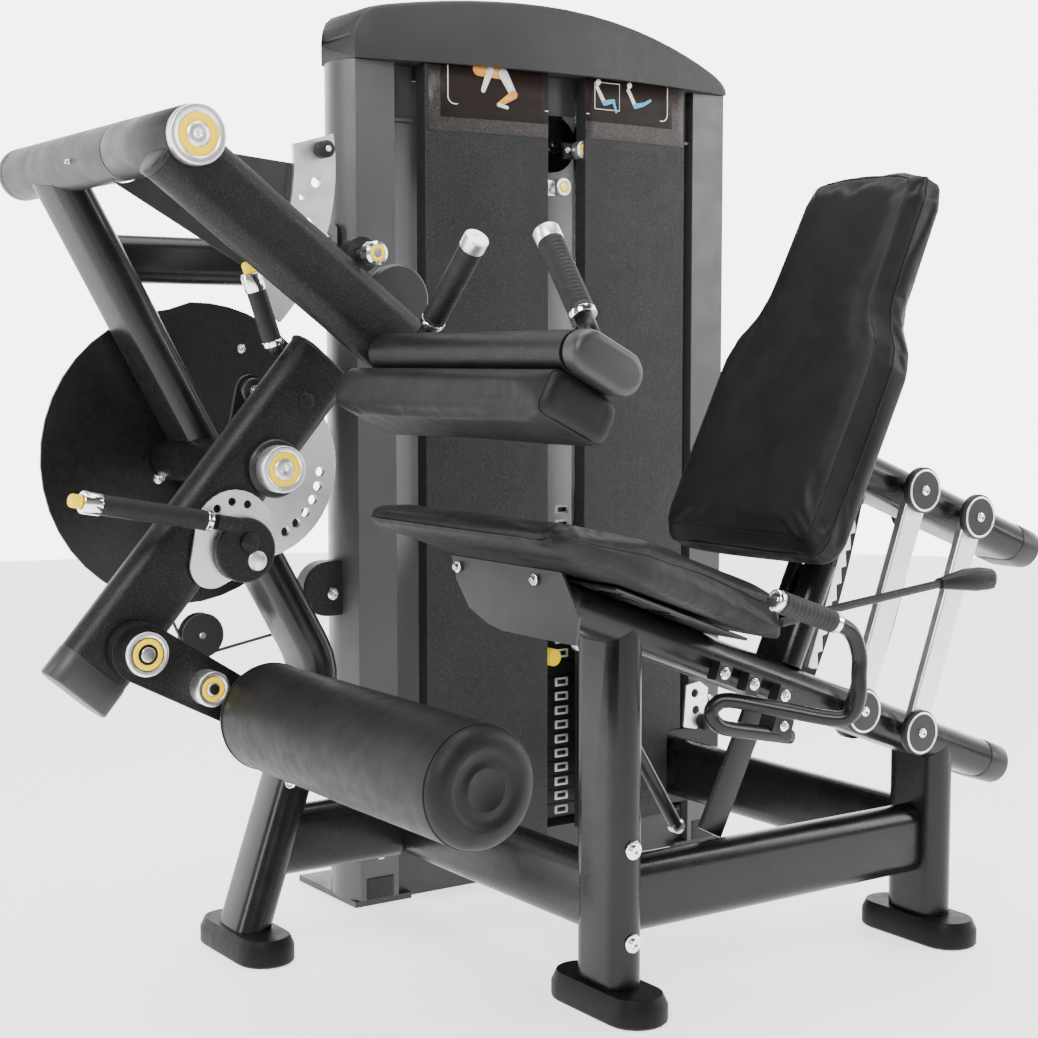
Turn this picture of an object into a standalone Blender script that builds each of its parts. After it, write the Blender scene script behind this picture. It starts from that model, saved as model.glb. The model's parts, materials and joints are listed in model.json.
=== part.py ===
"""Combined seated leg curl and leg extension machine with a weight stack.

Run with: blender --background --python part.py
Units are metres, +Z is up. The user sits facing -X, and the weight tower stands on the +Y side.
Positions are first written in machine coordinates, whose zero is on the floor under the centre
of the front post. CENTRE then moves them, so that the origin is the centre of the floor area.
"""

from math import atan, atan2, cos, pi, radians, sin, sqrt, tan

import bmesh
import bpy
from mathutils import Vector

# Origin of the finished model, seen from the front post's centre.
CENTRE = Vector((0.083, 0.290, 0.0))
GAP = 0.0003                    # air between pieces that touch

# Flat-oval steel tube used all over the frame and the arms.
TUBE_LONG = 0.120
TUBE_SHORT = 0.060
WALL = 0.003
CORNER_STEPS = 6                # facets in each half round of a tube
ROUND = 24                      # facets round a shaft or a disc

# Floor frame.
FOOT_H = 0.045
FOOT_SIZE = (0.100, 0.235)
RAIL_Z = 0.175                  # centre height of the floor rails
REAR_POST_X = 0.679
TOWER_FRONT_Y = 0.680
REAR_RAIL_X = 0.679
FLANGE_X = (0.644, 0.792)       # plate that bolts the rear rail to the right column
FLANGE_Z = (0.100, 0.250)
FLANGE_T = 0.008
ARM_FRAME_Y = 0.575             # where the frame that carries the arms meets the floor
ARM_FRAME_LEAN = 0.11           # how far it leans to the tower for each metre of height
LEFT_FOOT_X = -0.335
ARM_BEND = (-0.168, 0.460)      # x and z
ARM_BEND_R = 0.120
ARM_TOP = (-0.597, 1.314)
LINTEL = (0.7375, 1.169)        # y and z
LINTEL_SIZE = (0.080, 0.050)
LINTEL_X = (-0.515, -0.0712)

# Rotating axes, x and z. All of them run along Y.
KNEE = (-0.382, 0.832)
THIGH = (-0.584, 1.314)
LINK_PIVOT = (-0.616, 0.5665)
ROLLER = (-0.425, 0.456)

# Arms.
LEG_ARM_ANGLE = radians(49.5)
LEG_ARM_Y = (0.365, 0.425)
LEG_ARM_DOWN = 0.455            # from the knee axis to the lower end
LEG_ARM_UP = 0.190
LEG_ARM_OFFSET = 0.030          # the tube's middle lies this far in front of the knee axis
THIGH_ARM_Y = (0.205, 0.265)
THIGH_ARM_SLOPE = radians(36.8)
THIGH_ARM_TALL = 0.110
CROSS_TILT = radians(27.0)
CROSS = (-0.2455, 0.996)        # middle of the cross tube over the thighs
CROSS_Y = (-0.325, 0.2047)
THIGH_PAD_SIZE = (0.130, 0.070)
THIGH_PAD_Y = (-0.305, 0.255)
LOCK_RADIUS = 0.330             # from the thigh pivot to the row of lock holes
LOCK_ANGLES = (-28.0, -16.5, -5.0)
ROLLER_R = 0.082
ROLLER_Y = (-0.305, 0.322)

# Seat.
SEAT_SLOPE = atan(0.378)
SEAT_RAIL_X = (-0.120, 0.830)
SEAT_RAIL_Z0 = 0.6013           # height of the seat rail's axis over the front post
SEAT_RAIL_SHORT = 0.066
SEAT_Y = 0.012                  # middle of the seat
BACK_Y = 0.022                  # middle of the backrest
LINK_VECTOR = (0.1305, 0.3547)
LINK_FEET_X = (0.450, 0.5835)   # lower pivots of the two links, on the seat rail's axis
RACK_X = 0.395
BACK_FOOT = (0.243, 0.7075)     # lower front edge of the backrest
BACK_TOP = (0.532, 1.294)
BACK_THICK = 0.075
BACK_HALF_W = 0.200
BACK_HEIGHT = 0.692
BACK_CHAMFER = 0.022
# Right-hand edge of the backrest pad from bottom to top: half width and distance up the pad.
BACK_OUTLINE = ((0.170, 0.0), (0.190, 0.010), (BACK_HALF_W, 0.035), (BACK_HALF_W, 0.330), (0.188, 0.370),
                (0.155, 0.415), (0.142, 0.460), (0.135, 0.640), (0.120, 0.680), (0.060, BACK_HEIGHT))

# Fits and details of the arms.
PIVOT_TUBE_R = 0.044
PIVOT_TUBE_Y = (0.4365, 0.885)
THIGH_HUB_Y = (0.181, 0.435)
THIGH_ARM_START = (-0.611, 1.305)
THIGH_ARM_LENGTH = 0.491
HOUSING_R = 0.038
HOUSING_Y = (0.460, 0.745)
SHAFT_R = 0.015
KNEE_CAP_R = 0.0365
KNEE_CAP_H = 0.040
CAM_R = 0.120
CAM_Y = 0.764
CAM_GROOVE = 0.010
SELECTOR_Y = (0.436, 0.446)
SELECTOR_HUB_R = 0.050
SELECTOR_R = 0.150
SELECTOR_HOLE_AT = 0.122
SELECTOR_HOLES = 6
START_HANDLE = ((-0.3590, 0.395, 1.0100), (-0.4077, 0.395, 1.1511))
RANGE_HANDLE = ((-0.500, 0.320, 0.757), (-0.7322, 0.320, 0.800))
RANGE_CENTRE = (-0.4416, 0.7093)
RANGE_R = 0.070
RANGE_PLATE_Y = (0.342, 0.354)
LINK_Y = (0.340, 0.3635)
LINK_CAP_R = 0.034
AXLE_Y = -0.270
NEAR_GRIP_Y = (-0.270, -0.148)
FAR_GRIP_Y = (0.170, 0.022)
GRIP_TOP_Z = 1.176
LOCK_PIN_Y = (0.190, 0.4514)     # the nose stays just short of the sector plate
LOCK_BUSH_Y = (0.237, 0.262)    # bush on the thigh arm that the pin slides in
LOCK_BUSH_R = 0.027
SECTOR_Y = (0.452, 0.460)

# Details of the seat and the backrest.
SEAT_EDGE_R = 0.008
# Cross-sections of the seat pad from front to rear: x, half width, top and bottom height.
SEAT_STATIONS = ((-0.285, 0.235, 0.776, 0.754), (-0.270, 0.247, 0.785, 0.7465), (-0.100, 0.240, 0.748, 0.6837),
                 (0.010, 0.212, 0.717, 0.643), (0.100, 0.195, 0.683, 0.6097), (0.205, 0.185, 0.645, 0.5725))
SEAT_BOARD_X = (-0.100, 0.150)
SEAT_BOARD_W = 0.260
SEAT_BOARD_H = 0.005
SHIELD_X = -0.210
SEAT_HANDLE = ((0.0855, -0.275, 0.6594), (0.215, -0.275, 0.6135), (0.243, -0.275, 0.595),
               (0.2535, -0.275, 0.565), (0.2535, -0.275, 0.505), (0.248, -0.268, 0.478),
               (0.232, -0.250, 0.468), (0.135, -0.125, 0.487), (0.118, -0.110, 0.480),
               (0.112, -0.106, 0.466), (0.120, -0.108, 0.451), (0.140, -0.109, 0.441),
               (0.2713, -0.109, 0.413))
LINK_BORE_R = 0.0125
LINK_AXLE_R = 0.0115
LINK_BOSS_R = 0.037
LINK_HALF_W = 0.013
LINK_T = 0.028
BACK_POST_X = 0.330
BACK_POST_VECTOR = (0.075, 0.0, 0.160)
BACK_POST_SIZE = (0.090, 0.050)
RACK_REACH = 0.70
RACK_W = 0.012
RACK_T = 0.010
RACK_TOOTH = 0.010
RACK_TEETH = 9
RACK_SLOT = 0.009               # half width of the slot in the back post that the rack swings through
BACK_RAIL_END_X = 0.900
BACK_PLATE_T = 0.006
BACK_PLATE_W = 0.220
BACK_PLATE_UP = (0.060, 0.420)
LEVER_ROD = ((0.160, -0.205, 0.612), (0.255, -0.205, 0.624), (0.505, -0.205, 0.649))
LEVER_TILT = 0.02

# Cable, wheels and guard.
LOW_PULLEY = (-0.3195, 0.515)
TOWER_PULLEY = (-0.095, 0.556)
LOW_PULLEY_R = 0.040
CABLE_R = 0.003
CABLE_Y = 0.776
LIFT_CABLE_Z = (0.740, 1.420)
GUARD = (-0.357, 0.832)
GUARD_R = 0.256
GUARD_UPPER = (-0.330, 0.832)
GUARD_UPPER_R = 0.268
GUARD_Y = (0.754, 0.760)

# Tower.
TOWER_X = (-0.052, 0.798)
TOWER_TOP_Z = 1.5305
CAP_BOTTOM_Z = 1.531
CAP_PEAK = (0.300, 1.652)       # x and z
CAP_FALL = (0.273, 0.380)       # how fast the arch falls to the left and to the right
CAP_X = (-0.055, 0.801)
CAP_Y = (0.620, 0.870)
CAP_FRONT_BOW = 0.056
CAP_BACK_BOW = 0.070
CAP_STEPS = 24
COLUMN_W = 0.080
COLUMN_D = 0.115
TOWER_BACK_Y = 0.905
STACK_X = 0.385
STACK_Y = 0.775
PLATE_PITCH = 0.0285
PLATE_SIZE = (0.300, 0.100)
STACK_Z = 0.095
REST_PLATES = 11
LIFTED_PLATES = 9
COLUMN_BOW = 0.018
COLUMN_Z0 = 0.012
BASE_TOP_Z = 0.085
BEAM_Y = (0.700, 0.850)
CAP_EDGE = 0.043                # how far each end of the cap drops
CAP_EDGE_RUN = 0.045            # over this length
CAP_LIP = 0.010                 # radius of its long edges
SLOT_X = 0.376
SLOT_HALF = 0.043
SHROUD_HALF = 0.300
SHROUD_Y = 0.635
SHROUD_BOW = 0.020
SHROUD_RETURN = 0.030
SHROUD_STEPS = 5
REAR_SHROUD_X = (-0.010, 0.756)
REAR_SHROUD_Y = 0.865
SHROUD_Z0 = 0.088
SHEET = 0.004
ROD_SPACING = 0.240
ROD_R = 0.0125
PIN_R = 0.005
PULLEY_R = 0.0495
PULLEY_Z = 1.420

FRAME_BLACK = ((0.020, 0.020, 0.021), 0.35, 0.3)
TEXTURED = ((0.012, 0.012, 0.012), 0.55, 0.2)
GREY_PAINT = ((0.075, 0.075, 0.077), 0.45, 0.1)
COLUMN_GREY = ((0.215, 0.215, 0.218), 0.40, 0.2)
CAP_GREY = ((0.050, 0.050, 0.052), 0.55, 0.0)
SHROUD = ((0.040, 0.040, 0.042), 0.65, 0.0)
LEATHER = ((0.014, 0.014, 0.014), 0.60, 0.0)
RUBBER = ((0.018, 0.018, 0.018), 0.75, 0.0)
CHROME = ((0.900, 0.900, 0.900), 0.08, 1.0)
IRON = ((0.030, 0.030, 0.032), 0.50, 0.6)
STEEL = ((0.550, 0.550, 0.560), 0.30, 1.0)
YELLOW = ((0.900, 0.800, 0.020), 0.45, 0.0)
PLASTIC = ((0.018, 0.018, 0.018), 0.50, 0.0)
REAR_PANEL = ((0.600, 0.600, 0.600), 0.50, 0.0)


def clear_scene():
    for item in list(bpy.data.objects):
        bpy.data.objects.remove(item)


def material(name, finish):
    """A Principled material, made once for each name."""
    found = bpy.data.materials.get(name)
    if found:
        return found
    colour, roughness, metallic = finish
    made = bpy.data.materials.new(name)
    made.use_nodes = True
    shader = made.node_tree.nodes["Principled BSDF"]
    shader.inputs["Base Color"].default_value = (*colour, 1.0)
    shader.inputs["Roughness"].default_value = roughness
    shader.inputs["Metallic"].default_value = metallic
    return made


def add(name, bm, finish, pivot=(0.0, 0.0, 0.0), cutter=False):
    """Turn a bmesh in machine coordinates into an object whose origin is at the pivot."""
    pivot = Vector(pivot)
    bmesh.ops.translate(bm, vec=-pivot, verts=bm.verts)
    bmesh.ops.recalc_face_normals(bm, faces=bm.faces)
    mesh = bpy.data.meshes.new(name)
    bm.to_mesh(mesh)
    bm.free()
    mesh.shade_smooth()
    mesh.set_sharp_from_angle(angle=radians(40))
    made = bpy.data.objects.new(name, mesh)
    bpy.context.collection.objects.link(made)
    made.location = pivot - CENTRE
    if cutter:
        made.hide_render = True
        made.display_type = "WIRE"
    else:
        mesh.materials.append(material(name, finish))
    return made


def boolean(target, tool, operation="DIFFERENCE"):
    cut = target.modifiers.new(tool.name, "BOOLEAN")
    cut.operation = operation
    cut.solver = "EXACT"
    cut.object = tool
    return target


def rounded(size_a, size_b, radius, steps=CORNER_STEPS):
    """Outline of a rectangle with round corners, anticlockwise, centred on zero."""
    half_a, half_b = size_a / 2 - radius, size_b / 2 - radius
    points = []
    for corner, (sign_a, sign_b) in enumerate(((1, 1), (-1, 1), (-1, -1), (1, -1))):
        for step in range(steps + 1):
            angle = (corner + step / steps) * pi / 2
            points.append((sign_a * half_a + radius * cos(angle), sign_b * half_b + radius * sin(angle)))
    return without_repeats(points)


def without_repeats(points):
    kept = []
    for point in points:
        if not kept or (Vector(point) - Vector(kept[-1])).length > 1e-6:
            kept.append(point)
    if (Vector(kept[0]) - Vector(kept[-1])).length < 1e-6:
        kept.pop()
    return kept


def flat_oval(long, short, steps=CORNER_STEPS):
    """Outline of a flat-oval tube: two half rounds joined by straight sides."""
    return rounded(long, short, short / 2, steps)


def circle(radius, steps=ROUND, turn=0.0):
    return [
        (radius * cos(turn + 2 * pi * i / steps), radius * sin(turn + 2 * pi * i / steps))
        for i in range(steps)
    ]


def loft(rings, closed=False):
    """Skin between rings of points. Open skins get a face on each end."""
    bm = bmesh.new()
    rows = [[bm.verts.new(point) for point in ring] for ring in rings]
    pairs = list(zip(rows, rows[1:]))
    if closed:
        pairs.append((rows[-1], rows[0]))
    for first, second in pairs:
        count = len(first)
        for i in range(count):
            j = (i + 1) % count
            bm.faces.new((first[i], first[j], second[j], second[i]))
    if not closed:
        bm.faces.new(reversed(rows[0]))
        bm.faces.new(rows[-1])
    return bm


def place_outline(outline, origin, axis_a, axis_b):
    origin, axis_a, axis_b = Vector(origin), Vector(axis_a), Vector(axis_b)
    return [origin + axis_a * a + axis_b * b for a, b in outline]


def slide_to_plane(points, direction, plane_point, plane_normal):
    """Move points along a direction until they lie in a plane."""
    direction, normal = Vector(direction), Vector(plane_normal)
    plane_point = Vector(plane_point)
    return [p + direction * ((plane_point - p).dot(normal) / direction.dot(normal)) for p in points]


def bar(start, end, outline, side, wall=None, start_normal=None, end_normal=None):
    """A straight tube or bar. side is the direction of the outline's first axis."""
    start, end = Vector(start), Vector(end)
    along = (end - start).normalized()
    axis_a = (Vector(side) - along * along.dot(Vector(side))).normalized()
    axis_b = along.cross(axis_a)
    shapes = [outline]
    if wall:
        shapes.append(inset(outline, wall))
    rings = []
    for shape in shapes:
        first = slide_to_plane(place_outline(shape, start, axis_a, axis_b), along, start,
                               start_normal or along)
        last = slide_to_plane(place_outline(shape, end, axis_a, axis_b), along, end,
                              end_normal or along)
        rings.append((first, last))
    if wall:
        return loft([rings[0][0], rings[0][1], rings[1][1], rings[1][0]], closed=True)
    return loft([rings[0][0], rings[0][1]])


def swept(points, outline, side, wall, start_normal=None):
    """A tube along points, mitred at each one. side is square to every span."""
    spans = [(b - a).normalized() for a, b in zip(points, points[1:])]
    shells = []
    for shape in (outline, inset(outline, wall)):
        rings = []
        for i, point in enumerate(points):
            along = spans[max(0, i - 1)]
            normal = along
            if i == 0 and start_normal:
                normal = start_normal
            elif 0 < i < len(spans):
                normal = (spans[i - 1] + spans[i]).normalized()
            ring = place_outline(shape, point, side, along.cross(side))
            rings.append(slide_to_plane(ring, along, point, normal))
        shells.append(rings)
    return loft(shells[0] + shells[1][::-1], closed=True)


def inset(outline, distance):
    """Outline moved inwards by a distance, with its corners mitred."""
    moved = []
    count = len(outline)
    for i in range(count):
        before, here, after = (Vector(outline[(i + k) % count]) for k in (-1, 0, 1))
        first = (here - before).normalized()
        second = (after - here).normalized()
        normal = (Vector((-first.y, first.x)) + Vector((-second.y, second.x))).normalized()
        moved.append(tuple(here + normal * (distance / max(0.2, normal.dot(Vector((-first.y, first.x)))))))
    return moved


def bent_tube(points, radius, steps=12):
    """A round bar along points, mitred at each one, whose sides don't twist."""
    points = [Vector(p) for p in points]
    spans = [(b - a).normalized() for a, b in zip(points, points[1:])]
    side = spans[0].orthogonal().normalized()
    rings = []
    for i, point in enumerate(points):
        along = spans[max(0, i - 1)]
        side = (side - along * along.dot(side)).normalized()
        inner = 0 < i < len(points) - 1
        normal = (spans[i - 1] + spans[i]).normalized() if inner else along
        ring = place_outline(circle(radius, steps), point, side, along.cross(side))
        rings.append(slide_to_plane(ring, along, point, normal))
    return loft(rings)


def turned(profile, origin, axis=(0, 1, 0), steps=ROUND, closed=False):
    """A turned piece. The profile lists (distance along the axis, radius)."""
    axis = Vector(axis).normalized()
    side = axis.orthogonal().normalized()
    other = axis.cross(side)
    origin = Vector(origin)
    rings = [place_outline(circle(radius, steps), origin + axis * along, side, other)
             for along, radius in profile]
    return loft(rings, closed)


def ring_profile(length, outer, inner, start=0.0):
    return [(start, outer), (start + length, outer), (start + length, inner), (start, inner)]


def box(low, high):
    low, high = Vector(low), Vector(high)
    return loft([
        [(low.x, low.y, z), (high.x, low.y, z), (high.x, high.y, z), (low.x, high.y, z)]
        for z in (low.z, high.z)
    ])


def soft_box(low, high, radius, steps=3):
    """A box whose edges parallel to Y and end rims are rounded."""
    low, high = Vector(low), Vector(high)
    middle = (low + high) / 2
    size = high - low
    rings = []
    for step in range(steps + 1):
        angle = pi / 2 * step / steps
        shrink = radius * (1 - sin(angle))
        along = low.y + radius * (1 - cos(angle))
        rings.append((along, shrink))
    for step in range(steps, -1, -1):
        along, shrink = rings[step]
        rings.append((low.y + high.y - along, shrink))
    made = []
    for along, shrink in rings:
        outline = rounded(size.x - 2 * shrink, size.z - 2 * shrink, radius - shrink * 0.6, steps)
        made.append(place_outline(outline, (middle.x, along, middle.z), (1, 0, 0), (0, 0, 1)))
    return loft(made)


def plate_y(outline, y_low, y_high):
    """A flat plate standing in the XZ plane; the outline lists (x, z)."""
    return loft([[(x, y, z) for x, z in outline] for y in (y_low, y_high)])


def capsule_outline(start, end, r_start, r_end, steps=8):
    """Outline round two circles and the straight lines that touch both, as (x, z)."""
    start, end = Vector(start), Vector(end)
    along = end - start
    heading = atan2(along.y, along.x)
    lean = math_acos((r_start - r_end) / along.length)
    points = []
    for i in range(steps + 1):
        angle = heading + lean + (2 * pi - 2 * lean) * i / steps
        points.append((start.x + r_start * cos(angle), start.y + r_start * sin(angle)))
    for i in range(steps + 1):
        angle = heading - lean + 2 * lean * i / steps
        points.append((end.x + r_end * cos(angle), end.y + r_end * sin(angle)))
    return without_repeats(points)


def math_acos(value):
    return pi / 2 - atan2(value, sqrt(1 - value * value))


def rail_height(x):
    """Height of the seat rail's axis at x."""
    return SEAT_RAIL_Z0 - x * tan(SEAT_SLOPE)


def rail_point(x, off=0.0, y=0.0):
    """A point on the seat rail's axis, moved square to the rail by off."""
    return Vector((x + off * sin(SEAT_SLOPE), y, rail_height(x) + off * cos(SEAT_SLOPE)))


# Directions used again and again.
RAIL_DIR = Vector((cos(SEAT_SLOPE), 0, -sin(SEAT_SLOPE)))
RAIL_UP = Vector((sin(SEAT_SLOPE), 0, cos(SEAT_SLOPE)))
ARM_DIR = Vector((cos(LEG_ARM_ANGLE), 0, sin(LEG_ARM_ANGLE)))
ARM_SIDE = Vector((-sin(LEG_ARM_ANGLE), 0, cos(LEG_ARM_ANGLE)))
THIGH_DIR = Vector((cos(THIGH_ARM_SLOPE), 0, -sin(THIGH_ARM_SLOPE)))
THIGH_UP = Vector((sin(THIGH_ARM_SLOPE), 0, cos(THIGH_ARM_SLOPE)))
CROSS_DIR = Vector((cos(CROSS_TILT), 0, -sin(CROSS_TILT)))
CROSS_UP = Vector((sin(CROSS_TILT), 0, cos(CROSS_TILT)))
BACK_DIR = Vector((BACK_TOP[0] - BACK_FOOT[0], 0, BACK_TOP[1] - BACK_FOOT[1])).normalized()
BACK_NORMAL = Vector((BACK_DIR.z, 0, -BACK_DIR.x))
ARM_FRAME_SIDE = Vector((0, 1, -ARM_FRAME_LEAN)).normalized()


# ---------------------------------------------------------------- floor frame

def rail_cutter():
    """The seat rail's outer shape with a little air, for coping the posts under it."""
    outline = flat_oval(TUBE_LONG + 2 * GAP, SEAT_RAIL_SHORT + 2 * GAP)
    return add("rail_cutter", bar(rail_point(-0.3), rail_point(1.0), outline, (0, 1, 0)), None,
               cutter=True)


def post_cutter(name, x):
    return add(name, bar((x, 0, 0), (x, 0, 0.5), wide_oval(), (0, 1, 0)), None, cutter=True)


def cylinder_cutter(name, centre_xz, radius, y_low, y_high):
    origin = (centre_xz[0], y_low, centre_xz[1])
    return add(name, turned([(0, radius), (y_high - y_low, radius)], origin), None, cutter=True)


def frame_tube(name, start, end, side, finish=FRAME_BLACK, **ends):
    outline = flat_oval(TUBE_LONG, TUBE_SHORT)
    return add(name, bar(start, end, outline, side, wall=WALL, **ends), finish, pivot=start)


def make_posts(rail_cut):
    for name, x in (("front_post", 0.0), ("rear_post", REAR_POST_X)):
        post = frame_tube(name, (x, 0, FOOT_H + GAP), (x, 0, rail_height(x)), (0, 1, 0),
                          end_normal=RAIL_UP)
        boolean(post, rail_cut)


def make_seat_rail():
    outline = flat_oval(TUBE_LONG, SEAT_RAIL_SHORT)
    rail = add("seat_rail", bar(rail_point(SEAT_RAIL_X[0]), rail_point(SEAT_RAIL_X[1]), outline,
                                (0, 1, 0), wall=WALL), FRAME_BLACK, pivot=rail_point(0.0))
    for number, x in enumerate(LINK_FEET_X):
        bore = cylinder_cutter(f"rail_bore_{number}", (x, rail_height(x)), LINK_BORE_R, -0.2, 0.2)
        boolean(rail, bore)


def make_floor_rails():
    half = TUBE_SHORT / 2 + GAP
    frame_tube("side_rail", (half, 0, RAIL_Z), (REAR_POST_X - half, 0, RAIL_Z), (0, 0, 1))
    for name, x in (("front_rail", 0.0), ("rear_rail", REAR_RAIL_X)):
        rail = frame_tube(name, (x, 0.035, RAIL_Z), (x, TOWER_FRONT_Y - GAP, RAIL_Z), (0, 0, 1))
        boolean(rail, post_cutter(name + "_cope", x))
    flange = box((FLANGE_X[0], TOWER_FRONT_Y - FLANGE_T, FLANGE_Z[0]),
                 (FLANGE_X[1], TOWER_FRONT_Y - GAP, FLANGE_Z[1]))
    boolean(rail, add("rail_flange", flange, None, cutter=True), "UNION")
    foot, bend = arm_frame_point(LEFT_FOOT_X, FOOT_H), arm_frame_point(*ARM_BEND)
    start = foot + (bend - foot) * ((RAIL_Z - FOOT_H) / (bend.z - foot.z))
    rail = frame_tube("left_rail", start, (-half, start.y, RAIL_Z), (0, 0, 1))
    boolean(rail, add("left_rail_cope", bar(foot, bend, wide_oval(), ARM_FRAME_SIDE), None, cutter=True))


def wide_oval():
    """The frame tube's outline with a little air, for coping what meets it."""
    return flat_oval(TUBE_LONG + 2 * GAP, TUBE_SHORT + 2 * GAP)


def arm_frame_point(x, z):
    """A point in the leaning plane of the arm frame."""
    return Vector((x, ARM_FRAME_Y + ARM_FRAME_LEAN * z, z))


def with_bend(start, corner, end, radius, steps=4):
    """Points from start to end, with an arc in place of the corner."""
    first, second = (corner - start).normalized(), (end - corner).normalized()
    turn = first.angle(second)
    inward = (second - first * first.dot(second)).normalized()
    centre = corner - first * (radius * tan(turn / 2)) + inward * radius
    arc = [centre + first * (radius * sin(turn * i / steps)) - inward * (radius * cos(turn * i / steps))
           for i in range(steps + 1)]
    return [start] + arc + [end]


def make_arm_frame():
    """The bent frame that carries both arms: a leg and upright in one tube, and two cross tubes."""
    foot, top = arm_frame_point(LEFT_FOOT_X, FOOT_H + GAP), arm_frame_point(*ARM_TOP)
    bend = arm_frame_point(*ARM_BEND)
    route = with_bend(foot, bend, top, ARM_BEND_R)
    upright = add("arm_upright", swept(route, flat_oval(TUBE_LONG, TUBE_SHORT), ARM_FRAME_SIDE, WALL,
                                       start_normal=(0, 0, 1)), FRAME_BLACK, pivot=foot)
    boolean(upright, cylinder_cutter("tube_cope", THIGH, PIVOT_TUBE_R + GAP, 0.3, 1.0))
    boolean(upright, cylinder_cutter("housing_cope", KNEE, HOUSING_R + GAP, 0.3, 1.0))
    origin = (THIGH[0], PIVOT_TUBE_Y[0], THIGH[1])
    length = PIVOT_TUBE_Y[1] - PIVOT_TUBE_Y[0]
    add("pivot_tube", turned(ring_profile(length, PIVOT_TUBE_R, PIVOT_TUBE_R - 0.006), origin,
                             closed=True), GREY_PAINT, pivot=origin)
    origin = (KNEE[0], HOUSING_Y[0], KNEE[1])
    length = HOUSING_Y[1] - HOUSING_Y[0]
    add("knee_housing", turned(ring_profile(length, HOUSING_R, SHAFT_R + 0.0015), origin,
                               closed=True), FRAME_BLACK, pivot=origin)
    lintel = add("lintel", bar((LINTEL_X[0], *LINTEL), (LINTEL_X[1], *LINTEL), flat_oval(*LINTEL_SIZE),
                               (0, 0, 1), wall=WALL), FRAME_BLACK, pivot=(LINTEL_X[0], *LINTEL))
    boolean(lintel, add("lintel_cope", bar(bend, top, wide_oval(), ARM_FRAME_SIDE), None, cutter=True))


def make_feet():
    places = (("front_foot", 0.0, 0.0), ("rear_foot", REAR_POST_X, 0.0),
              ("left_foot", LEFT_FOOT_X, ARM_FRAME_Y))
    for name, x, y in places:
        rings = []
        for z, shrink in ((0.0, 0.004), (0.004, 0.0), (0.028, 0.0), (FOOT_H, 0.008)):
            outline = flat_oval(FOOT_SIZE[1] - 2 * shrink, FOOT_SIZE[0] - 2 * shrink, 5)
            rings.append(place_outline(outline, (x, y, z), (0, 1, 0), (-1, 0, 0)))
        add(name, loft(rings), RUBBER, pivot=(x, y, 0))


# ---------------------------------------------------------------- weight tower

def column_outline(mirror):
    """Plan of a column: flat front and inner sides, and an outer side that bows out."""
    width, depth, bow = COLUMN_W, COLUMN_D, COLUMN_BOW
    points = [(0, 0), (width, 0), (width, depth), (0, depth)]
    for step in range(1, 6):
        t = step / 6
        points.append((-bow * sin(pi * t), depth * (1 - t)))
    if mirror:
        points = [(-x, y) for x, y in reversed(points)]
    return points


def make_tower():
    for name, x, mirror in (("left_column", TOWER_X[0], False), ("right_column", TOWER_X[1], True)):
        outline = column_outline(mirror)
        start, end = Vector((x, TOWER_FRONT_Y, COLUMN_Z0)), Vector((x, TOWER_FRONT_Y, TOWER_TOP_Z))
        shapes = []
        for shape in (outline, inset(outline, WALL)):
            shapes.append([place_outline(shape, p, (1, 0, 0), (0, 1, 0)) for p in (start, end)])
        rings = [shapes[0][0], shapes[0][1], shapes[1][1], shapes[1][0]]
        add(name, loft(rings, closed=True), COLUMN_GREY, pivot=start)
    make_tower_base()
    make_tower_cap()
    make_shrouds()
    for name, side in (("left_guide_rod", -1), ("right_guide_rod", 1)):
        origin = (STACK_X + side * ROD_SPACING / 2, STACK_Y, BASE_TOP_Z + GAP)
        length = TOWER_TOP_Z - GAP - origin[2]
        add(name, turned([(0, ROD_R), (length, ROD_R)], origin, (0, 0, 1), 16), CHROME, pivot=origin)


def make_tower_base():
    """A beam between the columns with a long foot at each end, in one casting."""
    low_x, high_x = TOWER_X[0] - 0.010, TOWER_X[1] + 0.010
    beam_low, beam_high = TOWER_X[0] + COLUMN_W + GAP, TOWER_X[1] - COLUMN_W - GAP
    beam = add("tower_base", box((beam_low, BEAM_Y[0], 0.0), (beam_high, BEAM_Y[1], BASE_TOP_Z)),
               IRON, pivot=(STACK_X, STACK_Y, 0))
    for number, (x_low, x_high) in enumerate(((low_x, beam_low + 0.03), (beam_high - 0.03, high_x))):
        foot = add(f"base_foot_{number}", box((x_low, TOWER_FRONT_Y + 0.004, 0.0),
                                              (x_high, TOWER_BACK_Y, COLUMN_Z0 - GAP)),
                   None, cutter=True)
        boolean(beam, foot, "UNION")


def cap_height(x):
    """Height of the cap's top at x: an uneven arch with both ends rounded off."""
    fall = CAP_FALL[0] if x < CAP_PEAK[0] else CAP_FALL[1]
    edge = min(x - CAP_X[0], CAP_X[1] - x)
    rest = min(1.0, max(0.0, 1 - edge / CAP_EDGE_RUN))
    drop = CAP_EDGE if x < CAP_PEAK[0] else CAP_EDGE * 0.3
    return CAP_PEAK[1] - fall * (x - CAP_PEAK[0]) ** 2 - drop * (1 - sqrt(1 - rest * rest))


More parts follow.
